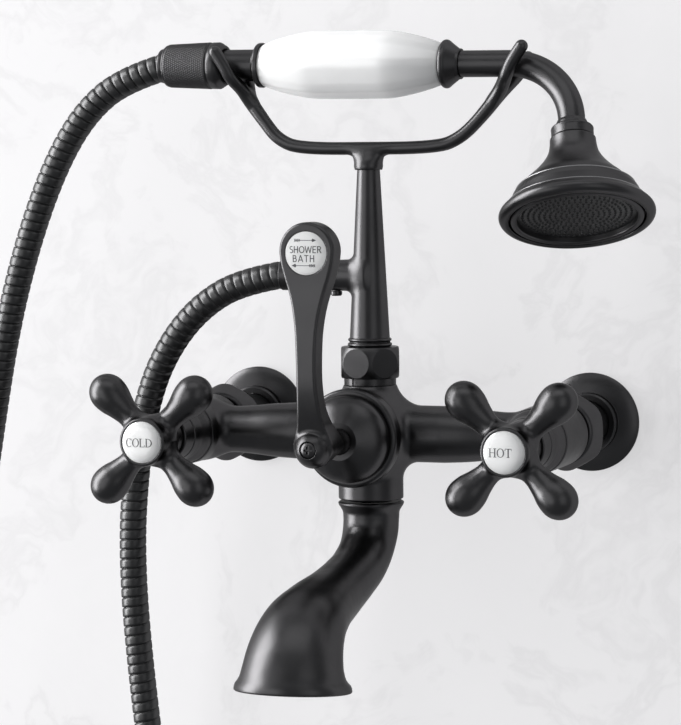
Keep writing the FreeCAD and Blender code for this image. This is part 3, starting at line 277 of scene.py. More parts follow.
def add_bump(tree, shader, height, distance, strength, edge=0.0):
    """Bump from a height, over edges that the shader rounds off by the radius edge."""
    bump = tree.nodes.new("ShaderNodeBump")
    bump.inputs["Distance"].default_value = distance
    bump.inputs["Strength"].default_value = strength
    tree.links.new(height, bump.inputs["Height"])
    if edge:
        bevel = tree.nodes.new("ShaderNodeBevel")
        bevel.samples = 4
        bevel.inputs["Radius"].default_value = edge
        tree.links.new(bevel.outputs["Normal"], bump.inputs["Normal"])
    tree.links.new(bump.outputs["Normal"], shader.inputs["Normal"])


def black_finish(name, dark, light, smooth, rough, edge):
    """Satin black plating: faint cloudiness, fine orange peel and softly rounded edges."""
    material, tree, shader = new_material(name)
    shader.inputs["Metallic"].default_value = 1.0
    shader.inputs["Specular Tint"].default_value = (0.55, 0.55, 0.55, 1.0)
    cloud = add_noise(tree, 45.0, 4.0)
    colour = add_ramp(tree, cloud, [(0.3, dark), (0.7, light)])
    tree.links.new(colour, shader.inputs["Base Color"])
    satin = add_range(tree, add_noise(tree, 160.0, 5.0, 0.6), smooth, rough)
    tree.links.new(satin, shader.inputs["Roughness"])
    add_bump(tree, shader, add_noise(tree, 2600.0, 2.0), 0.00002, 0.35, edge)
    return material


def porcelain_finish():
    """White porcelain under a glaze, with light scattered a little way below it."""
    material, tree, shader = new_material("porcelain_glaze")
    cloud = add_noise(tree, 70.0, 3.0)
    colour = add_ramp(tree, cloud, [(0.3, (0.91, 0.91, 0.905)), (0.7, (0.94, 0.94, 0.935))])
    tree.links.new(colour, shader.inputs["Base Color"])
    tree.links.new(add_range(tree, add_noise(tree, 90.0), 0.10, 0.16), shader.inputs["Roughness"])
    shader.inputs["Coat Weight"].default_value = 0.5
    shader.inputs["Coat Roughness"].default_value = 0.05
    shader.inputs["Subsurface Weight"].default_value = 0.6
    shader.inputs["Subsurface Radius"].default_value = (1.0, 1.0, 1.0)
    shader.inputs["Subsurface Scale"].default_value = 0.012
    add_bump(tree, shader, add_noise(tree, 140.0, 1.0), 0.0001, 0.25)
    return material


def metal_finish(name, colour, paler, smooth, rough):
    """Bare metal inside the faucet, with tool marks; also the paler metal that paints highlight lines on the
    bell's step edges.
    """
    material, tree, shader = new_material(name)
    shader.inputs["Metallic"].default_value = 1.0
    tint = add_ramp(tree, add_noise(tree, 120.0, 5.0), [(0.3, colour), (0.7, paler)])
    tree.links.new(tint, shader.inputs["Base Color"])
    tree.links.new(add_range(tree, add_noise(tree, 300.0, 4.0), smooth, rough), shader.inputs["Roughness"])
    add_bump(tree, shader, add_noise(tree, 1500.0, 2.0), 0.00003, 0.4, 0.0002)
    return material


def plain_finish(name, dark, light, smooth, rough, grain, height):
    """Rubber, ceramic disc, nozzle face and ink: a grained, slightly uneven surface."""
    material, tree, shader = new_material(name)
    tint = add_ramp(tree, add_noise(tree, grain / 8, 4.0), [(0.3, dark), (0.7, light)])
    tree.links.new(tint, shader.inputs["Base Color"])
    tree.links.new(add_range(tree, add_noise(tree, grain / 3), smooth, rough), shader.inputs["Roughness"])
    add_bump(tree, shader, add_noise(tree, grain, 2.0), height, 0.4)
    return material


finishes = {
    "black_metal": black_finish(
        "satin_black", (0.066, 0.065, 0.067), (0.075, 0.074, 0.076), 0.31, 0.37, 0.0004),
    "hose_metal": black_finish(
        "hose_black", (0.066, 0.066, 0.067), (0.077, 0.077, 0.078), 0.33, 0.42, 0.0),
    "porcelain": porcelain_finish(),
    # painted highlight: a paler metal for the thin rings that paint highlight lines along the bell's step
    # edges
    "painted_highlight_metal": metal_finish(
        "painted_highlight_metal", (0.20, 0.20, 0.205), (0.25, 0.25, 0.255), 0.30, 0.38),
    "brass": metal_finish("cast_brass", (0.58, 0.40, 0.16), (0.66, 0.48, 0.22), 0.25, 0.42),
    "steel": metal_finish("screw_steel", (0.46, 0.46, 0.47), (0.56, 0.56, 0.57), 0.22, 0.36),
    "disc_ceramic": plain_finish(
        "disc_ceramic", (0.70, 0.70, 0.66), (0.76, 0.76, 0.73), 0.18, 0.3, 900.0, 0.00001),
    "ink": plain_finish(
        "fired_ink", (0.055, 0.055, 0.06), (0.09, 0.09, 0.095), 0.3, 0.45, 2400.0, 0.00001),
    "rubber": plain_finish(
        "seal_rubber", (0.012, 0.012, 0.012), (0.02, 0.02, 0.02), 0.55, 0.75, 1800.0, 0.00004),
    "spray_face": plain_finish(
        "spray_face", (0.010, 0.010, 0.011), (0.018, 0.018, 0.019), 0.42, 0.55, 1500.0, 0.00003)}


def dress_frame():
    """Each CAD node takes the finish of its own material slot."""
    for subpart in frame["record"]["subparts"]:
        for holder in nodes[subpart["node"]].material_slots:
            holder.material = finishes[subpart["material_slot"]]


dress_frame()
hose.data.materials.append(finishes["hose_metal"])


# ---- forms with blended edges ----
# A form is a function that gives each point's distance outside its surface, less than zero inside.
# Its points are rows, p, unpacked as x along the wall, a away from the wall and z up.
def add_fillet(a, b, r):
    """Both forms, with a concave fillet of radius r where they meet."""
    return np.maximum(r, np.minimum(a, b)) - np.hypot(np.maximum(r - a, 0), np.maximum(r - b, 0))


def keep_both(a, b, r):
    """What the two forms share, with its edge rounded to radius r."""
    return -add_fillet(-a, -b, r)


def curve(x, points):
    """A smooth line through (place, value) points, read at x and level past its ends."""
    at, value = np.array(points, float).T
    slope = np.gradient(value, at)
    k = np.clip(np.searchsorted(at, x) - 1, 0, len(at) - 2)
    wide = at[k + 1] - at[k]
    t = np.clip((x - at[k]) / wide, 0, 1)
    rise = t * t * (3 - 2 * t)
    sway = wide * t * (1 - t) * ((1 - t) * slope[k] - t * slope[k + 1])
    return value[k] * (1 - rise) + value[k + 1] * rise + sway


def ball(p, centre, r):
    return np.linalg.norm(p - centre, axis=1) - r


def rod(p, axis, centre, r):
    """An endless rod along the wall (0), away from it (1) or upright (2), through the centre."""
    one, two = [k for k in range(3) if k != axis]
    return np.hypot(p[:, one] - centre[one], p[:, two] - centre[two]) - r


def between(value, low, high):
    return np.maximum(low - value, value - high)


def cone_chain(p, points, radii):
    """Round rods from point to point, with a radius at each point."""
    found = np.full(len(p), 1e3)
    for start, end, r0, r1 in zip(points, points[1:], radii, radii[1:]):
        run = end - start
        t = np.clip((p - start) @ run / (run @ run), 0, 1)
        found = np.minimum(found, np.linalg.norm(p - start - t[:, None] * run, axis=1) - r0 - t * (r1 - r0))
    return found


def smooth_points(points, steps):
    """Points along the NURBS spline that has these control points, in millimetres."""
    return [np.array(spot) / MM for spot in nurbs_line([Vector(q) * MM for q in points], steps)]


def slopes(form, p, h=0.02):
    return np.stack([(form(p + e) - form(p - e)) / (2 * h) for e in np.eye(3) * h], axis=1)


def skin(name, form, low, high, cell):
    """A quad mesh on the form's surface: one vertex in each cell that the surface crosses.

    The form is read in blocks of cells near the surface, and the vertices then slide onto it."""
    block = 8
    low = np.array(low, float)
    blocks = np.ceil((np.array(high) - low) / (cell * block)).astype(int)
    middles = low + (np.stack(np.indices(blocks), -1) + 0.5) * (block * cell)
    rough = form(middles.reshape(-1, 3)).reshape(blocks)
    values = np.pad(rough.repeat(block, 0).repeat(block, 1).repeat(block, 2), ((0, 1),) * 3, mode="edge")
    near = np.argwhere(np.abs(rough) < 1.15 * block * cell)
    steps = np.stack(np.indices((block + 1,) * 3), -1).reshape(-1, 3)
    spots = (near[:, None] * block + steps).reshape(-1, 3)
    values[tuple(spots.T)] = form(low + spots * cell)
    rings, crossings = [], []
    for axis in range(3):
        ahead, b, c = np.roll(np.eye(3, dtype=int), -axis, axis=0)
        change = np.diff(values < 0, axis=axis)
        edge = np.argwhere(change)
        start, end = values[tuple(edge.T)], values[tuple((edge + ahead).T)]
        crossings.append(edge + ahead * (start / (start - end))[:, None])
        ring = [np.ravel_multi_index((edge - s).T, values.shape) for s in (0 * b, b, b + c, c)]
        ring = np.stack(ring, axis=1)
        rings.append(np.where((start < 0)[:, None], ring[:, ::-1], ring))
    rings = np.vstack(rings)
    faces = np.unique(rings, return_inverse=True)[1].reshape(-1, 4)
    shared = np.vstack(crossings).repeat(4, axis=0)
    count = np.bincount(faces.ravel())
    middle = np.stack([np.bincount(faces.ravel(), shared[:, k]) for k in range(3)], axis=1)
    spots = low + middle / count[:, None] * cell
    for _ in range(4):
        slope = slopes(form, spots)
        move = form(spots) / np.maximum((slope ** 2).sum(axis=1), 0.3)
        spots -= slope * np.clip(move, -cell / 2, cell / 2)[:, None]
    slope = slopes(form, spots, 0.1 * cell)
    piece = add_mesh(name, spots * to_scene * MM, faces)
    piece.data.normals_split_custom_set_from_vertices((slope * to_scene).tolist())
    return piece


def stand_in(piece, body, slot, *cad_nodes):
    """The piece shows in place of the CAD nodes, has the slot's finish and moves with the body."""
    piece.data.materials.append(finishes[slot])
    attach(piece, body)
    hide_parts(*cad_nodes)


# ---- cross body ----
reach = 80.8                                # wall to the axis of the cross body
valve_centre = 89.0                         # middle of the faucet to each valve


def body_form(p):
    """Bar, upright trunk, diverter boss, valve barrels and threads, with the waterways cut out."""
    x, a, z = p.T
    far = np.abs(x)
    bar_r = curve(far, [(38, 13.7), (50, 13.0), (61, 11.9), (70, 11.4), (74, 11.6), (89, 12.6)])
    bar = np.maximum(rod(p, 0, (0, reach, 0), bar_r), far - valve_centre)
    trunk_r = curve(z, [(-12, 15.75), (0, 15.6), (12, 14.3), (20, 13.1), (23.4, 12.7)])
    trunk = keep_both(rod(p, 2, (0, reach, 0), trunk_r), between(z, -32.0, 23.4), 0.7)
    form = add_fillet(bar, trunk, 10.7 + 1.3 * np.tanh(z / 6))
    boss = keep_both(rod(p, 1, (0, 0, 0), 20.6), between(a, reach, 105.8), 0.8)
    form = add_fillet(form, boss, 4.5)
    form = np.minimum(form, np.maximum(rod(p, 2, (0, reach, 0), 10.48), between(z, 0.0, 36.8)))
    valve = np.hypot(far - valve_centre, z)             # distance from the valve's own axis
    barrel = keep_both(valve - 15.7, between(a, 64.4, 103.2), 1.6)
    form = add_fillet(form, barrel, 5.0)
    form = np.minimum(form, np.maximum(valve - 13.22, between(a, 48.0, 66.0)))
    ways = np.minimum(np.maximum(valve - 11.0, 80.2 - a), valve - 6.5)
    ways = np.minimum(ways, np.maximum(rod(p, 1, (0, 0, 0), 15.0), 78.8 - a))
    ways = np.minimum(ways, np.maximum(rod(p, 2, (0, reach, 0), np.where(z > 0, 6.5, 10.55)), z - 40))
    return np.maximum(form, -ways)


# ---- diverter lever ----
lever_top = 90.8                            # diverter's axis to the middle of the lever's head
knob_out = 160.8                            # wall to the middle of the lever's ball foot


def lever_form(p):
    """Blade that swells to a round head, on a bent neck with a ball foot, hollowed for its fittings."""
    x, a, z = p.T
    head_r = 13.3
    half = curve(z, [(0, 7.3), (9, 7.0), (18, 5.7), (29, 5.0), (44, 5.0), (55, 5.6), (64, 6.9), (72, 8.8),
                     (80, 11.3), (86, 12.8), (lever_top, head_r)])
    head = np.hypot(x, z - lever_top) - head_r
    outline = np.minimum(np.maximum(np.abs(x) - half, np.abs(z - lever_top / 2) - lever_top / 2), head)
    front = a - curve(z, [(0, 160.5), (9, 164.2), (18, 167.6), (27, 169.6), (42, 170.3), (60, 169.4),
                          (72, 168.2), (80, 168)])
    back = curve(z, [(0, 141), (5, 144.4), (12, 152.1), (20, 156.9), (28, 158.7), (42, 159.3), (60, 158.4),
                     (76, 156)]) - a
    blade = keep_both(keep_both(outline, front, 1.5), back, 2.2)
    knob = keep_both(ball(p, (0, knob_out, 0), 8.5), a - 169.0, 0.8)
    neck_r = curve(a, [(127.9, 6.4), (131, 5.7), (140, 6.2), (147, 7.4), (154, 8.3), (knob_out, 8.4)])
    out = np.hypot(x, z)
    neck = np.maximum(out - neck_r, between(a, 127.9, knob_out))
    form = add_fillet(add_fillet(blade, neck, 5.0), knob, 2.0)
    pocket = np.maximum(rod(p, 1, (0, 0, 90.0), 9.95), 166.4 - a)       # for the index
    screw_seat = np.maximum(out - 3.9, 165.8 - a)
    stem_bore = np.maximum(out - 4.55, a - 137.4)
    screw_way = np.maximum(out - 2.3, a - 168.0)
    cuts = np.minimum(np.minimum(pocket, screw_seat), np.minimum(stem_bore, screw_way))
    return keep_both(form, -cuts, 0.35)


# ---- cross handles ----
def handle_form(p):
    """Hub and four pear-shaped arms, about the valve's own axis."""
    x, a, z = p.T
    out = np.hypot(x, z)
    hub_r = curve(a, [(133.6, 10.4), (136, 11.3), (140, 12.0), (146, 12.0), (151.4, 11.5)])
    form = keep_both(out - hub_r, between(a, 133.6, 154.0), 1.2)
    form = add_fillet(form, keep_both(out - 10.3, between(a, 127.9, 140.0), 0.4), 1.0)
    arms = np.full(len(p), 1e3)
    arm_out, bulb_at, long, thick = 142.0, 31.0, 9.6, 9.0
    for turn in (45, 135, 225, 315):
        c, s = turn_by(turn)
        t = x * c + z * s
        r = np.hypot(z * c - x * s, a - arm_out)
        arm_r = curve(t, [
            (2, 7.2), (9.5, 6.5), (15.5, 5.7), (21.5, 6.9), (26.5, 8.45), (29.5, 8.92), (bulb_at, thick),
            (32.5, 8.92)])
        arm = np.maximum(r - arm_r, -t)
        u, v = (t - bulb_at) / long, r / thick
        k0, k1 = np.hypot(u, v), np.hypot(u / long, v / thick)
        bulb = k0 * (k0 - 1) / np.maximum(k1, 1e-6)     # half an ellipsoid ends the arm
        arms = add_fillet(arms, np.where(t > bulb_at, bulb, arm), 2.0)
    form = add_fillet(form, arms, 3.0)
    button_seat = np.maximum(out - 9.91, 151.0 - a)
    stem_bore = np.maximum(out - 4.4, a - 145.6)
    screw_way = np.minimum(out - 2.3, np.maximum(out - 4.0, 148.5 - a))
    cuts = np.minimum(np.minimum(button_seat, stem_bore), screw_way)
    return keep_both(form, -cuts, 0.35)


# ---- riser ----
outlet_height = 76.2                        # cross body to the hose outlet on the riser


def riser_form(p):
    """Tapered column over two beads, with the hose outlet swept smoothly out of its side."""
    x, a, z = p.T
    out = np.hypot(x, a - reach)
    column_r = curve(z, [(46.7, 9.65), (60, 8.97), (90, 7.42), (127.0, 5.5)])
    column = keep_both(out - column_r, between(z, 41.4, 130.0), 0.3)
    outlet_out = rod(p, 0, (0, reach, outlet_height), 0)
    outlet_r = curve(-x, [(0, 8.2), (10, 7.7), (15, 7.5)])
    outlet = keep_both(outlet_out - outlet_r, between(-x, 0.0, 22.0), 0.6)
    form = add_fillet(column, outlet, 3.4)
    for height, bead_r in ((42.9, 9.95), (45.2, 9.75)):
        form = np.minimum(form, np.hypot(out - bead_r, z - height) - 0.8)
    form = np.minimum(form, np.maximum(out - 9.0, between(z, 37.8, 43.0)))
    form = np.minimum(form, np.maximum(out - 10.0, between(z, 37.8, 39.8)))
    form = np.minimum(form, np.maximum(outlet_out - 6.0, between(-x, 20.0, 30.0)))
    ways = np.minimum(np.maximum(out - 3.6, z - 79.2), np.maximum(outlet_out - 3.6, x))
    screw_hole = np.maximum(rod(p, 2, (-17.0, reach, 0), 2.05), z - 72.0)
    return np.maximum(form, -np.minimum(ways, screw_hole))


# ---- cradle ----
rod_height = 137.4                          # the rod that joins the two arms
fork_floor = 167.0                          # where the tube lies in the forks
fork_height = 17.35                         # from there to the tip of a front prong
neck_height = 158.0                         # where an arm ends and its prongs begin
to_axis = np.array((0.0, reach, 0.0))       # wall to the plane of the cross body's axis


def fork_lines(side, root, lean, spread, neck, crotch):
    """Each prong's own line: from the arm, under the tube, round it and up, leaning outward."""
    lines = []
    for face, tip in ((1, fork_floor + fork_height), (-1, 179.7)):      # front and back prong
        path = [(side * neck, 0.0, neck_height), (side * crotch, face * 1.2, 161.9)]
        for across, height in ((4.7, fork_floor), (10.4, 171.7), (11.2, 178.2), (11.2, tip)):
            up = (height - fork_floor) / fork_height
            out = max(lean * up, 1.5) + 1.5 * max(0.0, 1 - abs(up - 0.3) / 0.3)
            path.append((side * (root + out), face * (across + spread * up), height))
        lines.append([q + to_axis for q in smooth_points(path, 6)])
    return lines


def cradle_form_maker():
    """The cradle's form: a rod over an oval boss, an arm to each side and two prongs on each arm."""
    chains = []
    for side, root, lean, spread, knee, neck, crotch in (
            (-1, 62.0, 11.4, 3.0, 53.5, 58.8, 61.4), (1, 67.5, 12.5, 0.0, 56.0, 62.0, 65.0)):
        arm = smooth_points([
            (side * 12.0, 0.0, rod_height), (side * 35.0, 0.0, rod_height), (side * 46.5, 0.0, 142.0),
            (side * knee, 0.0, 150.8), (side * neck, 0.0, neck_height)], 6)
        arm = [q + to_axis for q in arm]
        chains.append((arm, fork_lines(side, root, lean, spread, neck, crotch)))
    rod_ends = [np.array((x, reach, rod_height)) for x in (-14.0, 14.0)]

    def form(p):
        x, a, z = p.T
        bar = cone_chain(p, rod_ends, (3.1, 3.1))
        wide = curve(z, [(127, 6.6), (128.2, 6.95), (131, 7.1), (134, 8.3), (136.5, 11.0), (139, 13.0)])
        deep = curve(z, [(127, 6.6), (128.2, 6.95), (131, 6.5), (134, 5.1), (136.5, 3.9), (139, 2.6)])
        boss = (np.hypot(x / wide, (a - reach) / deep) - 1) * np.minimum(wide, deep)
        boss = keep_both(boss, between(z, 127.0, rod_height + 1.3), 0.3)
        found = add_fillet(bar, boss, 1.5)
        web = 3.0 * np.clip((z - 159.0) / 8.0, 0, 1)
        for arm, prongs in chains:
            found = np.minimum(found, cone_chain(
                p, arm, np.interp(np.linspace(0, 1, len(arm)), (0, 0.8, 1), (3.1, 3.15, 3.4))))
            front, back = [cone_chain(p, line, np.linspace(3.4, 3.05, len(line))) for line in prongs]
            found = np.minimum(found, add_fillet(front, back, web))
        socket = np.maximum(np.hypot(x, a - reach) - 5.55, z - 130.3)
        return np.maximum(found, -socket)
    return form


# ---- union nuts ----
def nut_form(p):
    """Hexagon with worn, rounded corners, about the valve's own axis."""
    x, a, z = p.T
    sides = np.full(len(p), -1e3)
    for turn in (0, 60, 120):
        c, s = turn_by(turn)
        sides = keep_both(sides, np.abs(x * c + z * s) - 18.5, 4.0)
    out = np.hypot(x, z)
    shoulder = out - 20.2 + 0.55 * np.abs(a - 49.0)
    form = keep_both(sides, shoulder, 2.0)
    form = keep_both(form, between(a, 40.0, 58.0), 1.2)
    return np.maximum(form, np.where(a > 43.0, 13.35, 11.4) - out)


# ---- porcelain grip ----
handset_height = 177.48                     # the hand shower's axis, over the riser
handset_tilt = 0.619                        # degrees from level
handset_roll = 22.7                         # degrees about its own axis


def along_handset(p):
    """The points in the hand shower's own frame: along it from the riser, across, and up."""
    x, a, z = p[:, 0], p[:, 1] - reach, p[:, 2] - handset_height
    c, s = turn_by(handset_tilt)
    along, up = x * c - z * s, x * s + z * c
    c, s = turn_by(handset_roll)
    return along, a * c + up * s, up * c - a * s


def grip_form(p):
    """Eight soft facets on a barrel, with a bore for the tube inside."""
    along, across, up = along_handset(p)
    start, end = -53.8, 37.9
    flat = curve(along, [
        (start, 10.2), (-46.8, 12.5), (-38, 14.4), (-29, 15.75), (-20, 15.95), (4, 15.95), (13, 15.75),
        (22, 14.3), (31, 12.2), (end, 10.2)])
    sides = np.full(len(p), -1e3)
    for turn in (0, 45, 90, 135):
        c, s = turn_by(turn)
        sides = keep_both(sides, np.abs(across * c + up * s) - flat, 2.5)
    round_r = curve(along, [
        (start, 10.6), (-46, 13.3), (-38, 15.5), (-29, 17.2), (-8, 17.6), (12.5, 17.2), (22, 15.5),
        (31, 13.0), (end, 10.6)])
    out = np.hypot(across, up)
    form = keep_both(sides, out - round_r, 2.0)
    form = keep_both(form, between(along, start, end), 0.8)
    return np.maximum(form, 5.6 - out)


# ---- turned pieces ----
elbow_corner = 99.6                         # riser to the corner of the hand shower's elbow
head_drop = 80.5                            # degrees from the hand shower's axis down to its head's


def from_handset(along, across, up):
    """Points in the hand shower's own frame, as (along the wall, away from it, up)."""
    c, s = turn_by(handset_roll)
    out, lift = across * c - up * s, across * s + up * c
    c, s = turn_by(handset_tilt)
    return np.stack([along * c + lift * s, out + reach, lift * c - along * s + handset_height], axis=-1)


def from_head(along, across, up):
    """Points about the shower head's own axis, measured along it from the elbow's corner."""
    c, s = turn_by(head_drop)
    return from_handset(elbow_corner + along * c + up * s, across, up * c - along * s)


def rounded(points, r):
    """The line through the points, with each corner between two of them rounded off."""
    points = [np.array(q, float) for q in points]
    line = [points[0]]
    for before, here, after in zip(points, points[1:], points[2:]):
        start, end = [here + (q - here) * min(0.45, r / np.linalg.norm(q - here)) for q in (before, after)]
        line += [(1 - t) ** 2 * start + 2 * t * (1 - t) * here + t * t * end for t in np.linspace(0, 1, 5)]
    return np.array(line + points[-1:])


def turned(name, place, along, radius, around):
    """A surface about an axis; radius holds a value or a row of them for each place along it."""
    turn = np.linspace(0, 2 * math.pi, around, endpoint=False)
    radius = radius.reshape(len(along), -1)
    spots = place(np.repeat(along[:, None], around, axis=1), radius * np.sin(turn), radius * np.cos(turn))
    return add_mesh(name, spots.reshape(-1, 3) * to_scene * MM, tube_faces(len(along), around))


# ---- hose nut ----
def knurled_nut():
    """The hose's cone nut, with a fine diamond knurl between two plain edges."""
    around, starts, lead, depth = 440, 62, 1.12, 0.26
    knurl = np.linspace(-102.6, -81.0, 130)
    first = [(-103.2, 5.25), (-104.3, 5.3), (-104.3, 9.3), (-104.15, 9.8), (-103.7, 10.15), (-103.2, 10.25),
             (-102.9, 10.15)]
    last = [(-80.7, 11.1), (-80.5, 10.8), (-80.1, 10.8), (-79.9, 11.15), (-79.6, 11.35), (-76.4, 11.4),
            (-75.9, 11.2), (-73.5, 9.7), (-73.3, 9.4), (-73.3, 8.1), (-79.0, 8.1)]
    along = np.array([q[0] for q in first] + list(knurl) + [q[0] for q in last])
    crest = np.array([q[1] for q in first] + list(np.interp(knurl, (-104.3, -80.7), (10.5, 11.45)))
                     + [q[1] for q in last])
    turn = np.arange(around) / around
    left = np.abs((turn[None] * starts + along[:, None] / lead / 2) % 1 - 0.5) * 2
    right = np.abs((turn[None] * starts - along[:, None] / lead / 2) % 1 - 0.5) * 2
    groove = np.clip(np.maximum(left, right) * 1.6 - 0.6, 0, 1)
    cut = np.where((along > -102.7) & (along < -80.9), depth, 0.0)
    return turned("hose_nut_skin", from_handset, along, crest[:, None] - cut[:, None] * groove, around)


def nut_ring():
    """A bright-edged ring between the hose and its nut."""
    along, radius = np.array([
        (-104.3, 6.9), (-106.9, 6.9), (-107.2, 7.2), (-107.2, 7.9), (-106.9, 8.25), (-106.4, 8.4),
        (-104.9, 8.4), (-104.35, 8.2), (-104.35, 6.9)]).T
    return turned("hose_nut_ring", from_handset, along, radius, 64)


# ---- shower head ----
def on_head(name, points, r):
    """A ring about the head's axis; its section's corners are rounded to about r."""
    along, radius = rounded(points, r).T
    return turned(name, from_head, along, radius, 128)


upper_step = (64.5, 27.7)                   # along the head's axis, radius
lower_step = (72.2, 32.4)


def bell():
    """Trumpet with two stepped bands and a rolled rim that overhangs a groove."""
    down = np.linspace(39.5, 64.3, 26)
    flare = curve(down, [
        (38.9, 10.7), (42.9, 11.0), (46.9, 12.0), (51.9, 15.0), (56.9, 19.4), (60.5, 23.2), (64.3, 26.5)])
    rim = [(77.2 + 2.9 * math.sin(t), 33.3 + 2.9 * math.cos(t)) for t in np.linspace(-0.9, 1.6, 12)]
    return on_head("bell_skin", [
        (38.9, 9.6), (39.1, 10.5), *zip(down, flare), upper_step, (67.6, 29.5), (71.9, 31.2), lower_step,
        (73.4, 33.4), *rim, (79.9, 31.7), (77.3, 31.5), (77.3, 29.5)], 0.35)


def bell_highlight_ring(name, step):
    """A thin ring on the edge of a step, which carries a painted highlight line in a paler metal."""
    along, radius = step
    return on_head(name, [
        (along - 0.22, radius - 0.9), (along - 0.22, radius - 0.05), (along + 0.1, radius + 0.28),
        (along + 0.55, radius + 0.3), (along + 0.7, radius)], 0.2)


def face_ring():
    """The ring that holds the spray plate, inside the rim's groove."""
    return on_head("face_ring_skin", [
        (77.2, 31.0), (79.5, 30.8), (79.9, 30.2), (79.9, 28.3), (79.5, 27.8), (76.6, 27.5),
        (76.6, 26.8)], 0.3)


def nozzle_plate():
    """A faintly domed rubber face with rings of small nozzles."""
    edge, around, vertices, faces = 27.7, 8, [], []
    section = ((-0.1, 0.75), (0.4, 0.62), (0.5, 0.4), (-0.2, 0.3))      # height over the face, radius

    def face_at(radius):
        return 77.5 - 0.5 * (radius / edge) ** 2
    disc = np.linspace(edge, 0.02, 20)
    plate = turned("spray_face_skin", from_head, face_at(disc), disc, 96)
    turn = np.linspace(0, 2 * math.pi, around, endpoint=False)
    for ring in range(11):
        radius, count = 2.5 * ring, max(6 * ring, 1)
        for k in range(count):
            spin = 2 * math.pi * k / count + 0.26 * ring
            across, up = radius * math.cos(spin), radius * math.sin(spin)
            faces += tube_faces(len(section), around, len(vertices))
            for lift, wide in section:
                spots = from_head(
                    face_at(radius) + lift + 0 * turn, across + wide * np.sin(turn), up + wide * np.cos(turn))
                vertices += list(spots * to_scene * MM)
    return plate, add_mesh("nozzles", vertices, faces)


# ---- lettering ----
# A pen stroke is its points and its width at each of them, for a capital's height of 1.
def straight(x0, z0, x1, z1, wide):
    t = np.linspace(0, 1, 9)
    return np.column_stack((x0 + (x1 - x0) * t, z0 + (z1 - z0) * t)), np.full(9, wide)


def stem(x):
    return straight(x, 0, x, 1, 0.14)


def level(x0, x1, z, wide=0.12):
    return straight(x0, z, x1, z, wide)


def foot(x, z):
    return level(x - 0.17, x + 0.17, z, 0.06)


def bow(cx, cz, rx, rz, start, end, thin, thick):
    """Part of an ellipse, thin at its top and bottom and thick at its sides."""
    turn = np.radians(np.linspace(start, end, 29))
    line = np.column_stack((cx + rx * np.cos(turn), cz + rz * np.sin(turn)))
    return line, thin + (thick - thin) * np.cos(turn) ** 2


# Each letter is its width and its pen strokes.
serif = {
    "H": (0.92, [stem(0.17), stem(0.75), level(0.17, 0.75, 0.52, 0.06), foot(0.17, 0.02), foot(0.17, 0.98),
                 foot(0.75, 0.02), foot(0.75, 0.98)]),
    "O": (0.90, [bow(0.45, 0.5, 0.37, 0.49, 0, 360, 0.06, 0.15)]),
    "T": (0.84, [stem(0.42), level(0.05, 0.79, 0.97, 0.07), foot(0.42, 0.02),
                 straight(0.06, 0.97, 0.06, 0.76, 0.06), straight(0.78, 0.97, 0.78, 0.76, 0.06)]),
    "C": (0.84, [bow(0.45, 0.5, 0.37, 0.49, 50, 310, 0.06, 0.15), straight(0.74, 0.72, 0.74, 0.98, 0.06)]),
    "L": (0.76, [stem(0.17), level(0.05, 0.68, 0.03, 0.06), straight(0.68, 0.0, 0.68, 0.26, 0.06),
                 foot(0.17, 0.98)]),
    "D": (0.92, [stem(0.17), bow(0.32, 0.5, 0.48, 0.47, -90, 90, 0.06, 0.15),
                 level(0.03, 0.34, 0.03, 0.06), level(0.03, 0.34, 0.97, 0.06)])}
sans = {
    "S": (0.66, [bow(0.32, 0.73, 0.21, 0.21, 40, 270, 0.13, 0.13),
                 bow(0.32, 0.28, 0.23, 0.23, 90, -140, 0.13, 0.13)]),
    "H": (0.80, [stem(0.12), stem(0.64), level(0.12, 0.64, 0.52)]),
    "O": (0.92, [bow(0.45, 0.5, 0.36, 0.44, 0, 360, 0.13, 0.14)]),
    "W": (1.12, [straight(0.05, 1, 0.28, 0, 0.13), straight(0.28, 0, 0.53, 0.92, 0.12),
                 straight(0.53, 0.92, 0.78, 0, 0.12), straight(0.78, 0, 1.01, 1, 0.13)]),
    "E": (0.68, [stem(0.12), level(0.12, 0.58, 0.06), level(0.12, 0.54, 0.52), level(0.12, 0.58, 0.94)]),
    "R": (0.74, [stem(0.12), bow(0.34, 0.72, 0.22, 0.22, -90, 90, 0.12, 0.13), level(0.12, 0.35, 0.94),
                 level(0.12, 0.35, 0.50), straight(0.34, 0.48, 0.64, 0, 0.13)]),
    "B": (0.76, [stem(0.12), bow(0.34, 0.74, 0.20, 0.20, -90, 90, 0.12, 0.13),
                 bow(0.36, 0.30, 0.25, 0.24, -90, 90, 0.12, 0.13), level(0.12, 0.35, 0.94),
                 level(0.12, 0.36, 0.54), level(0.12, 0.37, 0.06)]),
    "A": (0.84, [straight(0.06, 0, 0.41, 1, 0.13), straight(0.41, 1, 0.76, 0, 0.13),
                 level(0.18, 0.64, 0.30, 0.11)]),
    "T": (0.76, [stem(0.37), level(0.04, 0.70, 0.94)])}


def word(letters, alphabet, height, centre, base, space=0.0):
    """The word's pen strokes in millimetres, centred and standing on its base line."""
    width = sum(alphabet[c][0] for c in letters) + space * (len(letters) - 1)
    left, strokes = centre - width * height / 2, []
    for c in letters:
        for line, wide in alphabet[c][1]:
            strokes.append((line * height + (left, base), wide * height))
        left += (alphabet[c][0] + space) * height
    return strokes


def arrow(tail, tip, z):
    """An arrow with a feathered tail, lying along the wall."""
    way = 1 if tip > tail else -1
    shaft = np.column_stack((np.linspace(tail, tip, 25), np.full(25, z)))
    run = np.abs(shaft[:, 0] - tip)
    wide = np.where(run < 2.0, 0.9 * run, 0.28)         # the head is 2 long, the shaft 0.28 wide
    feathers = []
    for k in range(4):
        start = tail + way * 0.75 * k
        for lift in (-0.65, 0.65):
            feathers.append(straight(start, z + lift, start + way * 0.7, z, 0.3))
    return [(shaft, np.maximum(wide, 0.02))] + feathers


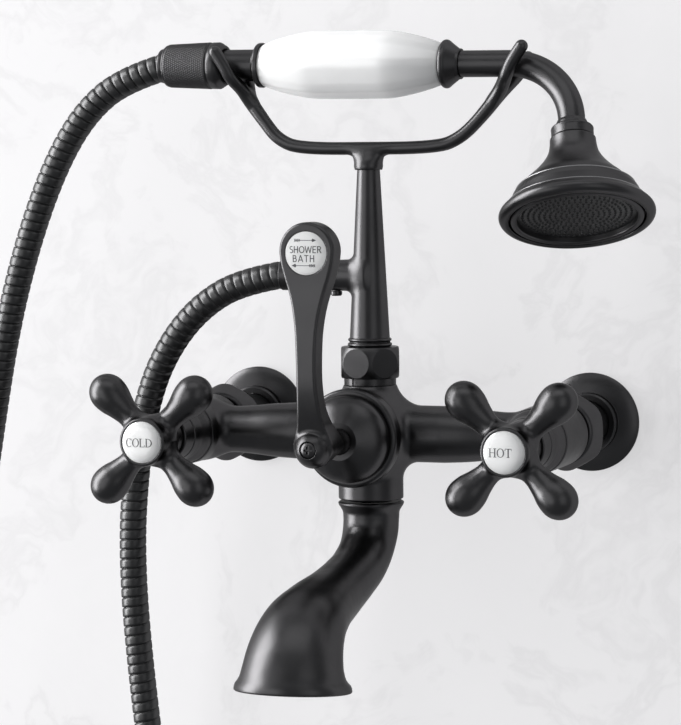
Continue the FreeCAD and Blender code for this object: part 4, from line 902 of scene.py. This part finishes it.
def ink(name, node, body, strokes):
    """Pen strokes printed on the front of a porcelain piece, placed about its middle."""
    source, centre = nodes[node], box_centre(node)
    tree = BVHTree.FromObject(source, bpy.context.evaluated_depsgraph_get())
    to_world, to_local = source.matrix_world, source.matrix_world.inverted()
    ahead = (to_local.to_3x3() @ Vector((0, 1, 0))).normalized()
    film, vertices, faces = 0.03, [], []
    for line, wide in strokes:
        along = np.gradient(line, axis=0)
        along /= np.linalg.norm(along, axis=1)[:, None]
        aside = np.column_stack((-along[:, 1], along[:, 0])) * wide[:, None] / 2
        for step, (here, side) in enumerate(zip(line, aside)):
            for share in (-1, 0, 1):
                x, z = (here + share * side) * MM
                start = Vector((centre.x + x, centre.y - 50 * MM, centre.z + z))
                hit = tree.ray_cast(to_local @ start, ahead)[0]
                vertices.append(to_world @ hit - Vector((0, film * MM, 0)))
            if step:
                k = len(vertices) - 6
                faces += [(k, k + 1, k + 4, k + 3), (k + 1, k + 2, k + 5, k + 4)]
    piece = add_mesh(name, vertices, faces)
    piece.data.materials.append(finishes["ink"])
    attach(piece, body)


def letter_faucet():
    ink("hot_word", "hot_button", "hot_handle", word("HOT", serif, 4.0, -1.3, -2.0, 0.04))
    ink("cold_word", "cold_button", "cold_handle", word("COLD", serif, 4.0, -0.6, -2.1))
    words = word("SHOWER", sans, 3.2, 0.0, 0.1) + word("BATH", sans, 3.2, -0.9, -4.0, 0.08)
    marks = arrow(-5.5, 5.2, 5.9) + arrow(4.6, -6.9, -5.6)
    ink("index_words", "lever_index", "lever", words + marks)


# ---- valve bonnets ----
def bonnet(side, name):
    """Rounded shoulder that narrows to a plain neck, with one fine line cut round it."""
    def on_valve(along, across, up):
        return np.stack([side * valve_centre - across, along, up], axis=-1)
    along, radius = rounded([
        (102.6, 15.1), (104.0, 15.1), (105.6, 14.8), (107.6, 14.1), (110.0, 13.2), (113.0, 12.7),
        (117.2, 12.4), (117.4, 11.9), (118.0, 11.9), (118.2, 12.2), (126.7, 11.6), (127.2, 11.1),
        (127.2, 5.3)], 0.4).T
    return turned(name, on_valve, along, radius, 96)


# ---- spout ----
def spout_shell():
    """S-shaped tube that swells to an oval mouth, walled inside."""
    around, thick, collar_end, collar_rings = 80, 2.5, 5, 24
    outside = [     # distance from the wall, height, turn from level in degrees, half width, half depth
        (80.8, -33.1, 0, 15.1, 15.1), (80.8, -33.5, 0, 15.75, 15.75), (80.8, -34.7, 0, 15.8, 15.8),
        (80.8, -36.2, 0, 14.9, 14.9), (80.8, -37.8, 0, 14.0, 14.0), (80.8, -41.0, 1, 13.6, 13.6),
        (81.8, -47.0, 14, 13.5, 13.4), (87.0, -54.8, 40, 13.2, 12.7), (99.0, -62.2, 64, 13.5, 12.1),
        (114.5, -66.8, 73, 13.8, 12.5), (134.0, -71.0, 77, 14.6, 13.5), (160.5, -75.8, 75, 17.3, 15.5),
        (174.2, -79.9, 59, 19.6, 17.2), (182.4, -85.6, 41, 21.2, 18.6), (187.3, -91.8, 23, 22.5, 19.8),
        (189.5, -97.2, 12, 23.5, 20.9), (190.0, -101.8, 7, 25.0, 22.5), (190.0, -104.2, 5, 26.9, 23.8),
        (190.0, -106.3, 5, 27.3, 24.1)]
    table = np.array(outside)
    s = np.concatenate([[0.0], np.cumsum(np.hypot(*np.diff(table[:, :2], axis=0).T))])
    fine = np.concatenate([
        np.linspace(0, s[collar_end], collar_rings), np.linspace(s[collar_end], s[-1], 110)[1:]])
    rings = np.stack([curve(fine, np.column_stack((s, column))) for column in table.T], axis=1)
    lip = [rings[-1] + (0.0, -drop, 0.0, -inset, -inset) for drop, inset in (
        (0.45, 0.1), (0.75, 0.45), (0.8, 0.9), (0.8, 1.7), (0.6, 2.2), (0.1, 2.45))]
    # the inside follows every third ring back up to the collar
    inside = rings[-1:collar_rings - 2:-3] - (0.0, 0.0, 0.0, thick, thick)
    rings = np.vstack([rings, lip, inside, [(reach, -33.1, 0, 10.5, 10.5), rings[0]]])
    turn = np.linspace(0, 2 * math.pi, around, endpoint=False)
    vertices = []
    for away, height, tilt, wide, deep in rings:
        c, t = turn_by(tilt)
        depth = deep * np.sin(turn)
        vertices += list(np.column_stack((wide * np.cos(turn), -away - depth * c, height + depth * t)) * MM)
    return add_mesh("spout_skin", vertices, tube_faces(len(rings), around))


# ---- pieces in their places ----
def dress_faucet():
    """Castings and pressings whose edges flow into each other."""
    metal = "black_metal"
    skins = (           # name, form, box to search, cell, body, slot, CAD node
        ("body_skin", body_form, (-108, 46, -34), (108, 108, 39), 0.8, "faucet", metal, "body_casting"),
        ("lever_skin", lever_form, (-15, 126, -11), (15, 173, 106), 0.5, "lever", metal, "diverter_lever"),
        ("riser_skin", riser_form, (-33, 68, 36), (12, 94, 132), 0.5, "faucet", metal, "riser_column"),
        ("cradle_skin", cradle_form_maker(), (-80, 60, 124), (86, 102, 190), 0.55, "faucet", metal, "cradle"),
        ("grip_skin", grip_form, (-57, 60, 155), (41, 101, 200), 0.7, "hand_shower", "porcelain",
         "porcelain_grip"))
    for name, form, low, high, cell, body, slot, node in skins:
        stand_in(skin(name, form, low, high, cell), body, slot, node)
    for side, name in ((1, "hot"), (-1, "cold")):
        to_valve = Matrix.Translation((side * valve_centre * MM, 0, 0))
        nut = skin(name + "_nut_skin", nut_form, (-24, 37, -24), (24, 61, 24), 0.6)
        nut.data.transform(to_valve)
        stand_in(nut, "faucet", metal, name + "_union_nut")
        handle = skin(name + "_handle_skin", handle_form, (-44, 125, -44), (44, 157, 44), 0.6)
        handle.data.transform(to_valve)
        stand_in(handle, name + "_handle", metal, name + "_handle")
        stand_in(bonnet(side, name + "_bonnet_skin"), "faucet", metal, name + "_bonnet")
    stand_in(spout_shell(), "faucet", metal, "spout")
    stand_in(knurled_nut(), "hand_shower", metal, "hose_nut")
    stand_in(bell(), "hand_shower", metal, "shower_bell")
    stand_in(face_ring(), "hand_shower", metal, "spray_ring")
    plate, nozzles = nozzle_plate()
    stand_in(plate, "hand_shower", "spray_face", "spray_plate")
    # the two bell rings take a paler metal that paints highlight lines on the step edges
    for piece, finish in (
            (nut_ring(), metal), (nozzles, "spray_face"),
            (bell_highlight_ring("bell_highlight_upper", upper_step), "painted_highlight_metal"),
            (bell_highlight_ring("bell_highlight_lower", lower_step), "painted_highlight_metal")):
        piece.data.materials.append(finishes[finish])
        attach(piece, "hand_shower")


dress_faucet()
letter_faucet()


# ---- stage ----
def marble():
    """Honed white marble with faint grey clouds and a few broken veins.

    Seen or mirrored it glows a little, and gives back less light, so the backdrop stays even."""
    material, tree, shader = new_material("wall_marble")
    place = object_space(tree)
    warp = noise_node(tree, place, 5.0, 5.0, 0.5)
    bend = tree.nodes.new("ShaderNodeVectorMath")
    bend.operation = "MULTIPLY_ADD"
    bend.inputs[1].default_value = (0.35, 0.35, 0.35)
    tree.links.new(warp.outputs["Color"], bend.inputs[0])
    tree.links.new(place, bend.inputs[2])
    vein = noise_node(tree, bend.outputs["Vector"], 7.0, 6.0, 0.62)
    glow, shade = 0.64, 0.285
    stops = [(0.30, (0.920, 0.913, 0.925)), (0.46, (0.910, 0.903, 0.915)), (0.50, (0.858, 0.851, 0.863)),
             (0.54, (0.910, 0.903, 0.915)), (0.75, (0.933, 0.926, 0.938))]
    shaded = [(stop, tuple(shade * c for c in colour)) for stop, colour in stops]
    tree.links.new(add_ramp(tree, vein.outputs["Fac"], shaded), shader.inputs["Base Color"])
    tree.links.new(add_ramp(tree, vein.outputs["Fac"], stops), shader.inputs["Emission Color"])
    shader.inputs["Roughness"].default_value = 0.5
    ray = tree.nodes.new("ShaderNodeLightPath")
    seen = ray.outputs["Is Camera Ray"]
    for kind in ("Is Glossy Ray", "Is Transmission Ray"):
        either = tree.nodes.new("ShaderNodeMath")
        either.operation = "MAXIMUM"
        tree.links.new(seen, either.inputs[0])
        tree.links.new(ray.outputs[kind], either.inputs[1])
        seen = either.outputs["Value"]
    pale = tree.nodes.new("ShaderNodeMath")
    pale.operation = "MULTIPLY"
    pale.inputs[1].default_value = glow
    tree.links.new(seen, pale.inputs[0])
    tree.links.new(pale.outputs["Value"], shader.inputs["Emission Strength"])
    return material


def build_wall():
    """The marble wall, a hair behind the flanges."""
    half = 3.0
    corners = [(-half, 0, -half), (half, 0, -half), (half, 0, half), (-half, 0, half)]
    wall = add_mesh("wall", corners, [(0, 1, 2, 3)], False)
    wall.location.y = 0.3 * MM
    wall.data.materials.append(marble())


def add_lamp(name, place, target, size, power):
    data = bpy.data.lights.new(name, "AREA")
    data.shape = "RECTANGLE"
    data.size, data.size_y = size
    data.energy = power
    lamp = bpy.data.objects.new(name, data)
    lamp.location = place
    lamp.rotation_euler = (Vector(target) - Vector(place)).to_track_quat("-Z", "Y").to_euler()
    bpy.context.scene.collection.objects.link(lamp)


def light_scene():
    """A tall window to the left, close to the wall, a weak sky above and a pale room in front."""
    aim = (0.0, -0.05, 0.0)
    add_lamp("window", (-2.4, -0.88, 0.6), aim, (1.44, 3.2), 170.0)
    add_lamp("sky", (0.3, -1.2, 2.2), aim, (2.4, 1.4), 9.5)
    add_lamp("card", (-1.1, -2.4, 0.1), aim, (1.4, 1.8), 8.5)
    add_lamp("far_card", (1.5, -1.7, 0.3), aim, (1.2, 1.8), 3.5)
    world = bpy.data.worlds.new("room")
    world.use_nodes = True
    background = world.node_tree.nodes["Background"]
    background.inputs["Color"].default_value = (0.75, 0.77, 0.80, 1.0)
    background.inputs["Strength"].default_value = 0.29
    bpy.context.scene.world = world


build_wall()
light_scene()
